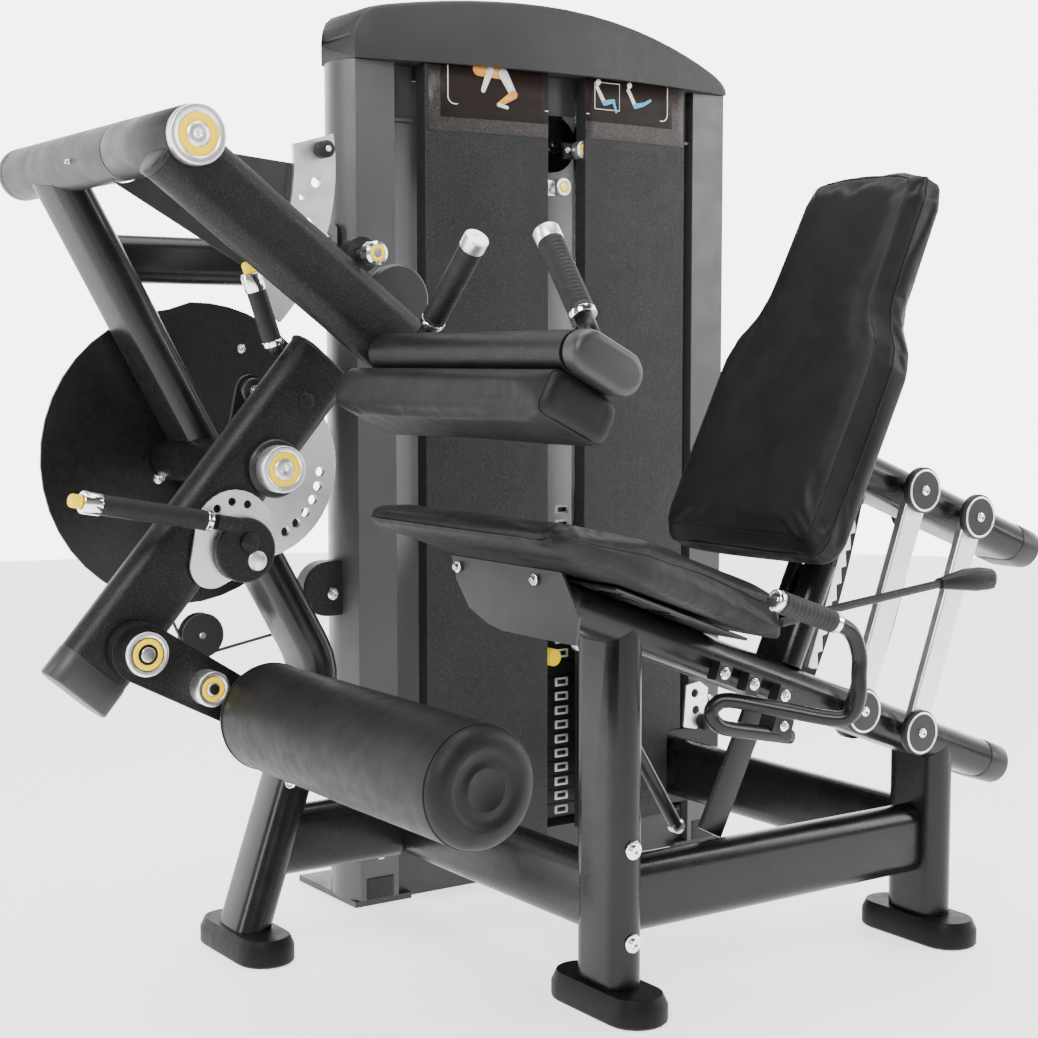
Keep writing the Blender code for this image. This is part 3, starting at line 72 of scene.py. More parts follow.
def axis_of(joint, y=0.0):
    """A joint's axis, as a point at that depth."""
    x, _, z = JOINTS[joint]["pos_m"]
    return Vector((x, ZERO.y + y, z))


# Axes and slopes shared by many pieces.
TOWARDS_USER = Vector((0, -1, 0))
SEAT_SLOPE = atan(0.378)
RAIL_DIR = Vector((cos(SEAT_SLOPE), 0, -sin(SEAT_SLOPE)))
RAIL_UP = Vector((sin(SEAT_SLOPE), 0, cos(SEAT_SLOPE)))
ARM_ANGLE = radians(49.5)
ARM_DIR = Vector((cos(ARM_ANGLE), 0, sin(ARM_ANGLE)))
ARM_SIDE = Vector((-sin(ARM_ANGLE), 0, cos(ARM_ANGLE)))
THIGH_ANGLE = radians(36.8)
THIGH_DIR = Vector((cos(THIGH_ANGLE), 0, -sin(THIGH_ANGLE)))
THIGH_UP = Vector((sin(THIGH_ANGLE), 0, cos(THIGH_ANGLE)))
CROSS_ANGLE = radians(27.0)
CROSS_DIR = Vector((cos(CROSS_ANGLE), 0, -sin(CROSS_ANGLE)))
CROSS_UP = Vector((sin(CROSS_ANGLE), 0, cos(CROSS_ANGLE)))
KNEE = axis_of("leg_arm_swing")
THIGH = axis_of("thigh_arm_swing")
LINK_PIVOT = axis_of("roller_link_swing")
ROLLER = axis_of("roller_spin")
REAR_FOOT = axis_of("rear_links_swing")
MIDDLE_FOOT = axis_of("middle_links_swing")
LINK_REACH = axis_of("carriage_tilt") - REAR_FOOT
CROSS = at(-0.2455, 0.0, 0.996)


# ---------------------------------------------------------------- materials

def link(tree, source, target):
    tree.links.new(source, target)


def noise(tree, scale, detail=2.0, roughness=0.5, distortion=0.0):
    """Noise over the surface in metres, riding with the piece."""
    place = tree.nodes.new("ShaderNodeTexCoord")
    made = tree.nodes.new("ShaderNodeTexNoise")
    made.inputs["Scale"].default_value = scale
    made.inputs["Detail"].default_value = detail
    made.inputs["Roughness"].default_value = roughness
    made.inputs["Distortion"].default_value = distortion
    link(tree, place.outputs["Object"], made.inputs["Vector"])
    return made.outputs["Fac"]


def cells(tree, scale, feature="F1"):
    """Distance inside random cells, for pores and pebbled skins."""
    place = tree.nodes.new("ShaderNodeTexCoord")
    made = tree.nodes.new("ShaderNodeTexVoronoi")
    made.feature = feature
    made.inputs["Scale"].default_value = scale
    link(tree, place.outputs["Object"], made.inputs["Vector"])
    return made.outputs["Distance"]


def spread(tree, value, low_value, high_value, start=0.3, end=0.7):
    made = tree.nodes.new("ShaderNodeMapRange")
    made.inputs["From Min"].default_value = start
    made.inputs["From Max"].default_value = end
    made.inputs["To Min"].default_value = low_value
    made.inputs["To Max"].default_value = high_value
    link(tree, value, made.inputs["Value"])
    return made.outputs["Result"]


def two_tone(tree, value, dark, light, start=0.35, end=0.65):
    made = tree.nodes.new("ShaderNodeValToRGB")
    made.color_ramp.elements[0].position = start
    made.color_ramp.elements[0].color = (*dark, 1)
    made.color_ramp.elements[1].position = end
    made.color_ramp.elements[1].color = (*light, 1)
    link(tree, value, made.inputs["Fac"])
    return made.outputs["Color"]


def flecked(tree, colour, amount):
    """Light grey flecks over a colour."""
    mix = tree.nodes.new("ShaderNodeMixRGB")
    mix.inputs["Color2"].default_value = (0.14, 0.14, 0.145, 1)
    link(tree, amount, mix.inputs["Fac"])
    link(tree, colour, mix.inputs["Color1"])
    return mix.outputs["Color"]


def bump(tree, heights):
    """Bump from a list of (height, strength, depth in metres), one after another."""
    normal = None
    for height, strength, distance in heights:
        made = tree.nodes.new("ShaderNodeBump")
        made.inputs["Strength"].default_value = strength
        made.inputs["Distance"].default_value = distance
        link(tree, height, made.inputs["Height"])
        if normal:
            link(tree, normal, made.inputs["Normal"])
        normal = made.outputs["Normal"]
    return normal


def surface(name, metallic=0.0, specular=0.5, coat=0.0):
    """An empty Principled material with its whole-surface values set on the shader."""
    made = bpy.data.materials.new(name)
    made.use_nodes = True
    shader = made.node_tree.nodes["Principled BSDF"]
    shader.inputs["Metallic"].default_value = metallic
    shader.inputs["Specular IOR Level"].default_value = specular
    shader.inputs["Coat Weight"].default_value = coat
    shader.inputs["Coat Roughness"].default_value = 0.15
    return made, made.node_tree, shader


def painted(name, dark, light, roughness, grain, grain_depth, specular=0.5, coat=0.0, metallic=0.0,
            sparkle=0.0):
    """Paint or powder coat: fine grain, a slow colour drift, uneven gloss and optional sparkle."""
    made, tree, shader = surface(name, metallic=metallic, specular=specular, coat=coat)
    drift = noise(tree, 6.0, 3.0)
    colour = two_tone(tree, drift, dark, light)
    if sparkle:
        colour = flecked(tree, colour, spread(tree, noise(tree, grain * 0.8, 1.0), 0.0, sparkle, 0.58, 0.72))
    link(tree, colour, shader.inputs["Base Color"])
    link(tree, spread(tree, noise(tree, 24.0, 3.0), roughness * 0.85, roughness * 1.15),
         shader.inputs["Roughness"])
    link(tree, bump(tree, [(noise(tree, grain, 2.0), 0.6, grain_depth)]), shader.inputs["Normal"])
    return made


def plastic(name, dark, light, roughness, pore=900.0, depth=0.00006, specular=0.5, speckle=0.0,
            painted_glow=0.0):
    """Moulded plastic: a pebbled skin, with optional light specks. A glow is painted light: the skin emits
    its light colour so it looks brighter.
    """
    made, tree, shader = surface(name, specular=specular)
    # Emission here is painted light, not a lamp: it brightens the plastic's own colour.
    shader.inputs["Emission Color"].default_value = (*light, 1)
    shader.inputs["Emission Strength"].default_value = painted_glow
    colour = two_tone(tree, noise(tree, 9.0, 2.0), dark, light)
    if speckle:
        colour = flecked(tree, colour, spread(tree, noise(tree, pore * 0.55, 1.0), 0.0, speckle, 0.55, 0.7))
    link(tree, colour, shader.inputs["Base Color"])
    link(tree, spread(tree, noise(tree, 60.0, 2.0), roughness * 0.9, roughness * 1.1),
         shader.inputs["Roughness"])
    link(tree, bump(tree, [(cells(tree, pore), 0.5, depth)]), shader.inputs["Normal"])
    return made


def polished(name, colour, roughness, brushed=0.00001):
    """Plated or polished steel with faint handling marks."""
    made, tree, shader = surface(name, metallic=1.0)
    dull = tuple(c * 0.97 for c in colour)
    link(tree, two_tone(tree, noise(tree, 18.0, 2.0), dull, colour), shader.inputs["Base Color"])
    link(tree, spread(tree, noise(tree, 30.0, 2.0), roughness * 0.9, roughness * 1.1),
         shader.inputs["Roughness"])
    link(tree, bump(tree, [(noise(tree, 350.0, 2.0), 0.15, brushed)]), shader.inputs["Normal"])
    return made


def leather(name, dark, light, roughness=0.52):
    """Upholstery leatherette: pebbled grain of two sizes, soft creases and a slightly uneven gloss."""
    made, tree, shader = surface(name, specular=0.24)
    link(tree, two_tone(tree, noise(tree, 14.0, 4.0), dark, light), shader.inputs["Base Color"])
    link(tree, spread(tree, noise(tree, 45.0, 3.0), roughness * 0.86, roughness * 1.12),
         shader.inputs["Roughness"])
    coarse = cells(tree, 520.0, feature="DISTANCE_TO_EDGE")
    fine = noise(tree, 1400.0, 2.0)
    crease = noise(tree, 32.0, 5.0, 0.6, 0.4)
    link(tree, bump(tree, [(coarse, 0.35, 0.0005), (fine, 0.25, 0.0001), (crease, 0.10, 0.002)]),
         shader.inputs["Normal"])
    return made


def woven_cable(name):
    """Coated wire rope: the strands show as slanted ridges through the sleeve."""
    made, tree, shader = surface(name, specular=0.5)
    place = tree.nodes.new("ShaderNodeTexCoord")
    wave = tree.nodes.new("ShaderNodeTexWave")
    wave.inputs["Scale"].default_value = 120.0
    wave.inputs["Distortion"].default_value = 0.4
    link(tree, place.outputs["Object"], wave.inputs["Vector"])
    link(tree, two_tone(tree, wave.outputs["Fac"], (0.010, 0.010, 0.010), (0.030, 0.030, 0.031)),
         shader.inputs["Base Color"])
    link(tree, spread(tree, noise(tree, 200.0), 0.35, 0.5), shader.inputs["Roughness"])
    link(tree, bump(tree, [(wave.outputs["Fac"], 0.6, 0.0004)]), shader.inputs["Normal"])
    return made


def honeycomb(name):
    """Printed film with a fine honeycomb of dark cells."""
    made, tree, shader = surface(name, specular=0.4)
    edge = cells(tree, 260.0, feature="DISTANCE_TO_EDGE")
    link(tree, two_tone(tree, edge, (0.060, 0.046, 0.040), (0.010, 0.008, 0.008), 0.04, 0.16),
         shader.inputs["Base Color"])
    link(tree, spread(tree, noise(tree, 40.0), 0.4, 0.5), shader.inputs["Roughness"])
    return made


FRAME_PAINT = painted("frame_paint", (0.0055, 0.0055, 0.0057), (0.0080, 0.0080, 0.0083), 0.28, 700.0,
                      0.00003, specular=0.28, coat=0.05)
TEXTURED = painted("textured_coat", (0.0055, 0.0055, 0.0056), (0.0085, 0.0085, 0.0086), 0.42, 620.0,
                   0.0005, specular=0.28, sparkle=0.25)
GREY_PAINT = painted("pivot_paint", (0.020, 0.020, 0.0205), (0.026, 0.026, 0.027), 0.42, 600.0, 0.00003,
                     specular=0.35)
DARK_PAINT = painted("dark_paint", (0.018, 0.018, 0.0185), (0.023, 0.023, 0.0235), 0.45, 600.0, 0.00004)
COLUMN_PAINT = painted("column_paint", (0.060, 0.060, 0.061), (0.070, 0.070, 0.071), 0.40, 500.0,
                       0.00003, metallic=0.15)
PANEL_PAINT = painted("panel_paint", (0.62, 0.62, 0.62), (0.68, 0.68, 0.68), 0.5, 400.0, 0.00003)
CAP_PLASTIC = plastic("cap_plastic", (0.026, 0.026, 0.0265), (0.031, 0.031, 0.0315), 0.55, 1100.0,
                      specular=0.35)
SHROUD_PLASTIC = plastic("shroud_plastic", (0.015, 0.015, 0.0155), (0.019, 0.019, 0.0195), 0.6, 1100.0,
                         0.00012, specular=0.25, speckle=0.30)
BLACK_PLASTIC = plastic("black_plastic", (0.008, 0.008, 0.008), (0.011, 0.011, 0.011), 0.42, 1000.0,
                        specular=0.45)
GUARD_PLASTIC = plastic("guard_plastic", (0.0065, 0.0065, 0.0065), (0.009, 0.009, 0.009), 0.28, 500.0,
                        0.00002, specular=0.45)
GREY_PLASTIC = plastic("grey_plastic", (0.024, 0.024, 0.025), (0.030, 0.030, 0.031), 0.45, 900.0,
                       0.00003)
RUBBER = plastic("rubber", (0.008, 0.008, 0.008), (0.012, 0.012, 0.012), 0.62, 700.0, 0.00012,
                 specular=0.35)
FOOT_RUBBER = plastic("foot_rubber", (0.004, 0.004, 0.004), (0.006, 0.006, 0.006), 0.5, 500.0, 0.00008,
                      specular=0.18)
# The yellow plastic's glow is painted light that makes it look brighter and more saturated.
YELLOW = plastic("yellow_plastic", (0.92, 0.62, 0.0), (1.0, 0.70, 0.0), 0.6, 900.0, 0.00003, specular=0.1,
                 painted_glow=0.3)
CHROME = polished("chrome", (1.0, 1.0, 1.0), 0.16)
BRIGHT = polished("bright_steel", (1.0, 1.0, 1.0), 0.38)
STEEL = polished("zinc_steel", (0.62, 0.62, 0.63), 0.30)
IRON = painted("stack_iron", (0.010, 0.010, 0.010), (0.016, 0.016, 0.016), 0.5, 300.0, 0.0002,
               specular=0.4)
LEATHER = leather("black_leatherette", (0.0062, 0.0062, 0.0064), (0.0095, 0.0095, 0.0098))
PIPING = leather("piping_leatherette", (0.005, 0.005, 0.005), (0.008, 0.008, 0.008), 0.45)
CABLE = woven_cable("coated_cable")
BROWN_FILM = plastic("brown_film", (0.014, 0.009, 0.007), (0.018, 0.012, 0.010), 0.5, 1200.0, 0.00001,
                     specular=0.15)
HEX_FILM = honeycomb("honeycomb_film")
WHITE_INK = plastic("white_ink", (0.80, 0.80, 0.80), (0.86, 0.86, 0.86), 0.4, 1200.0, 0.00001)
ORANGE_INK = plastic("orange_ink", (0.80, 0.28, 0.02), (0.88, 0.36, 0.04), 0.4, 1200.0, 0.00001)
BLUE_INK = plastic("blue_ink", (0.05, 0.35, 0.62), (0.08, 0.45, 0.72), 0.4, 1200.0, 0.00001)


# ---------------------------------------------------------------- mesh helpers

def circle(radius, steps=48):
    return [(radius * cos(2 * pi * i / steps), radius * sin(2 * pi * i / steps)) for i in range(steps)]


def rounded(size_a, size_b, radius, steps=8):
    """Outline of a rectangle with round corners, anticlockwise."""
    points = []
    for corner, (sign_a, sign_b) in enumerate(((1, 1), (-1, 1), (-1, -1), (1, -1))):
        for step in range(steps + 1):
            angle = (corner + step / steps) * pi / 2
            points.append((sign_a * (size_a / 2 - radius) + radius * cos(angle),
                           sign_b * (size_b / 2 - radius) + radius * sin(angle)))
    kept = []
    for point in points:
        if not kept or (Vector(point) - Vector(kept[-1])).length > 1e-6:
            kept.append(point)
    if (Vector(kept[0]) - Vector(kept[-1])).length < 1e-6:
        kept.pop()
    return kept


def oval(long, short, steps=12):
    return rounded(long, short, short / 2, steps)


def loft(rings, closed=False):
    bm = bmesh.new()
    rows = [[bm.verts.new(point) for point in ring] for ring in rings]
    pairs = list(zip(rows, rows[1:]))
    if closed:
        pairs.append((rows[-1], rows[0]))
    for first, second in pairs:
        for i in range(len(first)):
            j = (i + 1) % len(first)
            bm.faces.new((first[i], first[j], second[j], second[i]))
    if not closed:
        bm.faces.new(reversed(rows[0]))
        bm.faces.new(rows[-1])
    return bm


def placed(outline, origin, axis_a, axis_b):
    return [origin + axis_a * a + axis_b * b for a, b in outline]


def turned(profile, origin, axis, steps=48, closed=False):
    """A turned piece; the profile lists (distance along the axis, radius)."""
    axis = Vector(axis).normalized()
    side = axis.orthogonal().normalized()
    other = axis.cross(side)
    return loft([placed(circle(radius, steps), origin + axis * along, side, other)
                 for along, radius in profile], closed)


def bar(start, end, outline, side, rounding=0.0, steps=4):
    """A straight bar. Its ends are domed by the rounding, in metres."""
    along = (end - start).normalized()
    axis_a = (Vector(side) - along * along.dot(Vector(side))).normalized()
    axis_b = along.cross(axis_a)
    length = (end - start).length
    levels = [(0.0, 0.0), (length, 0.0)]
    if rounding:
        arc = [(rounding * (1 - cos(pi / 2 * i / steps)), rounding * (1 - sin(pi / 2 * i / steps)))
               for i in range(steps + 1)]
        levels = arc + [(length - d, s) for d, s in reversed(arc)]
    half_a = max(a for a, _ in outline)
    half_b = max(b for _, b in outline)
    rings = []
    for reach, shrink in levels:
        scaled = [(a * (1 - shrink / half_a), b * (1 - shrink / half_b)) for a, b in outline]
        rings.append(placed(scaled, start + along * reach, axis_a, axis_b))
    return loft(rings)


def pipe(points, radius, steps=12, closed=False):
    """A round bar along points, with a frame that doesn't twist."""
    points = [Vector(p) for p in points]
    count = len(points)
    rings = []
    side = (points[1] - points[0]).orthogonal().normalized()
    for i, point in enumerate(points):
        before = points[i - 1] if closed or i else points[0]
        after = points[(i + 1) % count] if closed or i < count - 1 else points[-1]
        along = (after - before).normalized()
        side = (side - along * along.dot(side)).normalized()
        rings.append(placed(circle(radius, steps), point, side, along.cross(side)))
    if not closed:
        return loft(rings)
    bm = bmesh.new()
    rows = [[bm.verts.new(p) for p in ring] for ring in rings]
    for index, first in enumerate(rows):
        second = rows[(index + 1) % count]
        shift = 0
        if index == count - 1:
            shift = min(range(steps), key=lambda s: (second[s].co - first[0].co).length)
        for i in range(steps):
            j = (i + 1) % steps
            bm.faces.new((first[i], first[j], second[(j + shift) % steps], second[(i + shift) % steps]))
    return bm


def smooth_path(points, per_span=8, closed=False):
    """Catmull-Rom curve through the points."""
    points = [Vector(p) for p in points]
    count = len(points)
    made = []
    spans = count if closed else count - 1
    for i in range(spans):
        p1, p2 = points[i], points[(i + 1) % count]
        p0 = points[i - 1] if closed or i else p1 * 2 - p2
        p3 = points[(i + 2) % count] if closed or i + 2 < count else p2 * 2 - p1
        for step in range(per_span):
            t = step / per_span
            made.append(0.5 * ((2 * p1) + (p2 - p0) * t + (2 * p0 - 5 * p1 + 4 * p2 - p3) * t * t
                               + (3 * p1 - p0 - 3 * p2 + p3) * t ** 3))
    if not closed:
        made.append(points[-1])
    return made


def plate(outline, y_low, y_high):
    """A flat plate standing in the XZ plane, from points whose depth is ignored."""
    return loft([[Vector((p.x, ZERO.y + y, p.z)) for p in outline] for y in (y_low, y_high)])


def capsule(start, end, r_start, r_end, steps=14):
    """Outline in the XZ plane round two circles."""
    along = end - start
    along.y = 0
    length = along.length
    along.normalize()
    side = Vector((-along.z, 0, along.x))
    lean = pi / 2 - (r_start - r_end) / length
    points = []
    for i in range(steps + 1):
        angle = lean + (2 * pi - 2 * lean) * i / steps
        points.append(start + (along * cos(angle) + side * sin(angle)) * r_start)
    for i in range(steps + 1):
        angle = -lean + 2 * lean * i / steps
        points.append(end + (along * cos(angle) + side * sin(angle)) * r_end)
    return points


def arc(centre, radius, start, end, steps):
    """Points on a circle in the XZ plane, angles in degrees from +X."""
    return [centre + Vector((cos(radians(start + (end - start) * i / steps)), 0,
                             sin(radians(start + (end - start) * i / steps)))) * radius
            for i in range(steps + 1)]


def make(name, bm, material):
    bmesh.ops.recalc_face_normals(bm, faces=bm.faces)
    mesh = bpy.data.meshes.new(name)
    bm.to_mesh(mesh)
    bm.free()
    mesh.shade_smooth()
    made = bpy.data.objects.new(name, mesh)
    bpy.context.scene.collection.objects.link(made)
    made.data.materials.append(material)
    return made


def soften(obj, width, segments=2, angle=32):
    """Small round edges that catch the light."""
    edge = obj.modifiers.new("edges", "BEVEL")
    edge.width = width
    edge.segments = segments
    edge.limit_method = "ANGLE"
    edge.angle_limit = radians(angle)
    edge.harden_normals = True
    return obj


def piece(name, bm, material, body, replaces=(), edge=0.0006):
    """A finished piece that rides on a body."""
    made = make(name, bm, material)
    if edge:
        soften(made, edge)
    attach(made, body)
    if replaces:
        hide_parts(*replaces)
    return made


def lathe(name, profile, place, facing, steps, material, body, replaces=(), edge=0, closed=False):
    """A turned piece that rides on a body."""
    bm = turned(profile, place, facing, steps, closed)
    return piece(name, bm, material, body, replaces, edge)


def cut(obj, tool_bm):
    """Cut a shape out of a piece for good, before its edges are rounded."""
    tool = make(obj.name + "_tool", tool_bm, obj.data.materials[0])
    modifier = obj.modifiers.new("cut", "BOOLEAN")
    modifier.operation = "DIFFERENCE"
    modifier.solver = "EXACT"
    modifier.object = tool
    bpy.context.view_layer.update()
    graph = bpy.context.evaluated_depsgraph_get()
    mesh = bpy.data.meshes.new_from_object(obj.evaluated_get(graph))
    obj.modifiers.clear()
    obj.data = mesh
    bpy.data.objects.remove(tool)
    return obj


def finish_plate(made, body, width, segments=2):
    """Rounded edges and a place on a body for a chromed plate, once its holes are cut."""
    soften(made, width, segments)
    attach(made, body)


def bolt(name, place, facing, body, radius=0.0085, washer=0.0145):
    """A socket-head bolt on a washer."""
    facing = Vector(facing).normalized()
    profile = [(0, washer), (0.0016, washer), (0.0020, washer - 0.0008), (0.0020, radius),
               (0.0065, radius), (0.0075, radius - 0.0012), (0.0075, radius * 0.52), (0.0040, radius * 0.50)]
    return lathe(name, profile, place, facing, 32, CHROME, body, edge=0.0002)


def ring_cap(name, place, facing, radius, depth, body, inner, outer, middle=None, replaces=()):
    """A bright end cap with a yellow ring let into its face, and a screw or knob in the middle."""
    facing = Vector(facing).normalized()
    profile = [(0, radius - 0.0006), (0.0006, radius), (depth - 0.0016, radius),
               (depth - 0.0004, radius - 0.0008), (depth, radius - 0.0026), (depth, outer + 0.0004),
               (depth - 0.0012, outer), (depth - 0.0012, inner), (depth, inner - 0.0004),
               (depth, 0.0030), (depth - 0.0010, 0.0026)]
    cap = lathe(name, profile, place, facing, 64, BRIGHT, body, replaces=replaces)
    ring = [(depth - 0.0012, outer - 0.0003), (depth + 0.0001, outer - 0.0006),
            (depth + 0.0001, inner + 0.0006), (depth - 0.0012, inner + 0.0003)]
    lathe(name + "_ring", ring, place, facing, 64, YELLOW, body, closed=True)
    if middle:
        dot = [(depth - 0.0004, inner * 0.78), (depth + 0.0016, inner * 0.74), (depth + 0.0020, inner * 0.6)]
        lathe(name + "_middle", dot, place, facing, 40, middle, body)
    return cap


def ridged(start, span, count, crest, groove, shares=(0.60, 0.72, 0.92)):
    """Profile of a ribbed grip; the shares say where each rib ends and its groove lies."""
    step = span / count
    profile = []
    for number in range(count):
        rib = start + step * number
        profile += [(rib, crest), (rib + step * shares[0], crest), (rib + step * shares[1], groove),
                    (rib + step * shares[2], groove)]
    return profile


# ---------------------------------------------------------------- camera, light and floor

CAMERA_PLACE = (-1.712, -2.255, 1.0)
CAMERA_PITCH = 4.85     # degrees below level
CAMERA_HEADING = 34.4   # degrees from +Y towards +X

def make_camera():
    data = bpy.data.cameras.new("camera")
    data.sensor_width = 36.0
    data.lens = 65.0
    made = bpy.data.objects.new("camera", data)
    bpy.context.scene.collection.objects.link(made)
    made.location = at(*CAMERA_PLACE)
    made.rotation_euler = Euler((radians(90 - CAMERA_PITCH), 0, radians(-CAMERA_HEADING)))
    bpy.context.scene.camera = made


def area_light(name, place, target, size, power):
    data = bpy.data.lights.new(name, "AREA")
    data.shape = "RECTANGLE"
    data.size, data.size_y = size
    data.energy = power
    made = bpy.data.objects.new(name, data)
    bpy.context.scene.collection.objects.link(made)
    made.location = place
    made.rotation_euler = (target - place).to_track_quat("-Z", "Y").to_euler()


def make_studio():
    """Bright backdrop beyond the machine, a dimmer room behind the camera, and soft lamps."""
    world = bpy.data.worlds.new("studio")
    world.use_nodes = True
    tree = world.node_tree
    place = tree.nodes.new("ShaderNodeTexCoord")
    facing = tree.nodes.new("ShaderNodeVectorMath")
    facing.operation = "DOT_PRODUCT"
    facing.inputs[1].default_value = (0.565, 0.825, 0.0)
    parts = tree.nodes.new("ShaderNodeSeparateXYZ")
    link(tree, place.outputs["Generated"], facing.inputs[0])
    link(tree, place.outputs["Generated"], parts.inputs["Vector"])
    beyond = spread(tree, facing.outputs["Value"], 0.35, 6.0, 0.15, 0.80)
    above = spread(tree, parts.outputs["Z"], 1.0, 0.16, 0.20, 0.60)
    strength = tree.nodes.new("ShaderNodeMath")
    strength.operation = "MULTIPLY"
    link(tree, beyond, strength.inputs[0])
    link(tree, above, strength.inputs[1])
    link(tree, strength.outputs["Value"], tree.nodes["Background"].inputs["Strength"])
    tree.nodes["Background"].inputs["Color"].default_value = (0.98, 0.98, 1.0, 1)
    bpy.context.scene.world = world
    middle = at(0, 0.3, 0.8)
    area_light("key", at(-3.0, -2.2, 3.4), middle, (1.8, 1.8), 170)
    area_light("side", at(3.2, -2.0, 2.2), middle, (0.8, 2.6), 90)
    area_light("strip_left", at(-3.4, 1.4, 1.6), middle, (0.5, 2.6), 70)
    area_light("top", at(0.2, 0.2, 4.2), middle, (3.0, 3.0), 170)
    floor = loft([circle_at(7.0, -0.012), circle_at(7.0, -0.0005)])
    made = make("floor", floor, floor_material())


def circle_at(radius, z):
    return [at(x, y, z) for x, y in circle(radius, 96)]


def floor_material():
    made, tree, shader = surface("studio_floor", specular=0.25)
    link(tree, two_tone(tree, noise(tree, 1.5, 2.0), (0.80, 0.80, 0.80), (0.84, 0.84, 0.84)),
         shader.inputs["Base Color"])
    link(tree, spread(tree, noise(tree, 40.0), 0.55, 0.65), shader.inputs["Roughness"])
    shader.inputs["Emission Color"].default_value = (1.0, 1.0, 1.0, 1)
    shader.inputs["Emission Strength"].default_value = 1.6
    return made


# ---------------------------------------------------------------- CAD pieces that stay

CAD_LOOKS = {
    "arm_upright": FRAME_PAINT, "back_post": FRAME_PAINT, "back_rail": FRAME_PAINT,
    "front_post": FRAME_PAINT, "front_rail": FRAME_PAINT, "knee_housing": FRAME_PAINT,
    "left_rail": FRAME_PAINT, "lintel": FRAME_PAINT, "rear_post": FRAME_PAINT, "rear_rail": FRAME_PAINT,
    "seat_board": DARK_PAINT, "seat_rail": FRAME_PAINT, "side_rail": FRAME_PAINT,
    "leg_arm_tube": TEXTURED, "thigh_arm_tube": TEXTURED, "pivot_tube": GREY_PAINT,
    "left_column": COLUMN_PAINT, "right_column": COLUMN_PAINT, "left_shroud": SHROUD_PLASTIC,
    "right_shroud": SHROUD_PLASTIC, "rear_shroud": PANEL_PAINT, "tower_cap": CAP_PLASTIC,
    "cam_guard": GUARD_PLASTIC, "crown_pulley": BLACK_PLASTIC, "arm_pulley": BLACK_PLASTIC,
    "left_guide_rod": CHROME, "right_guide_rod": CHROME, "rack_link": BRIGHT, "selector_plate": BRIGHT,
    "rest_plates": IRON, "lifted_plates": IRON, "tower_base": DARK_PAINT, "selector_pin": YELLOW,
    "front_foot": FOOT_RUBBER, "rear_foot": FOOT_RUBBER, "left_foot": FOOT_RUBBER,
    "leg_shield": DARK_PAINT, "release_lever": TEXTURED, "start_button": YELLOW, "range_button": YELLOW,
    "lock_pin": CHROME, "arm_cable": CABLE, "lift_cable": CABLE, "roller_link": TEXTURED,
}


def finish_cad_nodes():
    for node, material in CAD_LOOKS.items():
        obj = NODES[node]
        obj.data.materials.clear()
        obj.data.materials.append(material)
        if "custom_normal" in obj.data.attributes:
            obj.data.attributes.remove(obj.data.attributes["custom_normal"])
        obj.data.shade_smooth()
        weld = obj.modifiers.new("weld", "WELD")
        weld.merge_threshold = 0.00002
        soften(obj, 0.0009, 2, 30)


# ---------------------------------------------------------------- frame details

def tube_end(name, centre, along, side, size, body, material, length=0.012, proud=0.0012):
    """A moulded plug over a tube's open end."""
    outline = oval(size[0] + 2 * proud, size[1] + 2 * proud)
    return piece(name, bar(centre - along * length, centre + along * 0.0035, outline, side, 0.0035, 3),
                 material, body, edge=0)


def make_frame_details():
    for name, x, z in (("leg_bolt_high", -0.262, 0.290), ("leg_bolt_low", -0.310, 0.110)):
        bolt(name, at(x, 0.545, z), (-0.93, -0.2, 0.37), "frame")
    for number, z in enumerate((0.118, 0.262)):
        bolt(f"front_post_bolt_{number}", at(0, -0.0605, z), TOWARDS_USER, "frame")
        bolt(f"rear_post_bolt_{number}", at(0.679 + 0.0305, -0.012, z - 0.02), (1, 0, 0), "frame")
    bolt("lintel_bolt", at(-0.074, 0.7375, 1.219), (-1, 0, 0), "frame", 0.007, 0.012)
    flange = [at(-0.0735, 0.7375 + a, 1.182 + b) for a, b in rounded(0.070, 0.120, 0.012)]
    piece("lintel_flange", loft([[p + Vector((d, 0, 0)) for p in flange] for d in (-0.005, 0.0)]),
          FRAME_PAINT, "frame")
    bolt("column_bolt", at(-0.010, 0.6795, 0.100), TOWARDS_USER, "frame")
    bolt("right_column_bolt", at(0.772, 0.6795, 0.300), TOWARDS_USER, "frame", 0.007, 0.012)
    for name, low_x, high_x in (("left", -0.045, 0.022), ("right", 0.724, 0.791)):
        shoe = [at((low_x + high_x) / 2 + a, 0.737 + b, 0) for a, b in rounded(high_x - low_x, 0.118, 0.010)]
        piece(f"{name}_column_shoe", loft([[p + Vector((0, 0, z)) for p in shoe] for z in (0.0125, 0.052)]),
              FRAME_PAINT, "frame", edge=0.001)
    rear_end = at(0.830, 0, 0.6013 - 0.830 * 0.378)
    tube_end("seat_rail_rear_end", rear_end, RAIL_DIR, (0, 1, 0), (0.120, 0.066), "frame", BLACK_PLASTIC,
             0.045)
    tube_end("seat_rail_front_end", at(-0.120, 0, 0.6013 + 0.120 * 0.378), -RAIL_DIR, (0, 1, 0),
             (0.120, 0.066), "frame", BLACK_PLASTIC, 0.02)
    top_axis = at(0.900, 0, 0.6013 - (0.900 - LINK_REACH.x) * 0.378 + LINK_REACH.z)
    tube_end("back_rail_rear_end", top_axis, RAIL_DIR, (0, 1, 0), (0.120, 0.066), "carriage",
             BLACK_PLASTIC, 0.045)
    tube_end("pivot_tube_far_end", at(-0.584, 0.885, 1.314), Vector((0, 1, 0)), (1, 0, 0),
             (0.086, 0.086), "frame", BLACK_PLASTIC, 0.02)
    bolt("pivot_tube_set_screw", at(-0.584 - 0.0435, 0.560, 1.306), (-1, 0, -0.1), "frame", 0.0035, 0.0045)


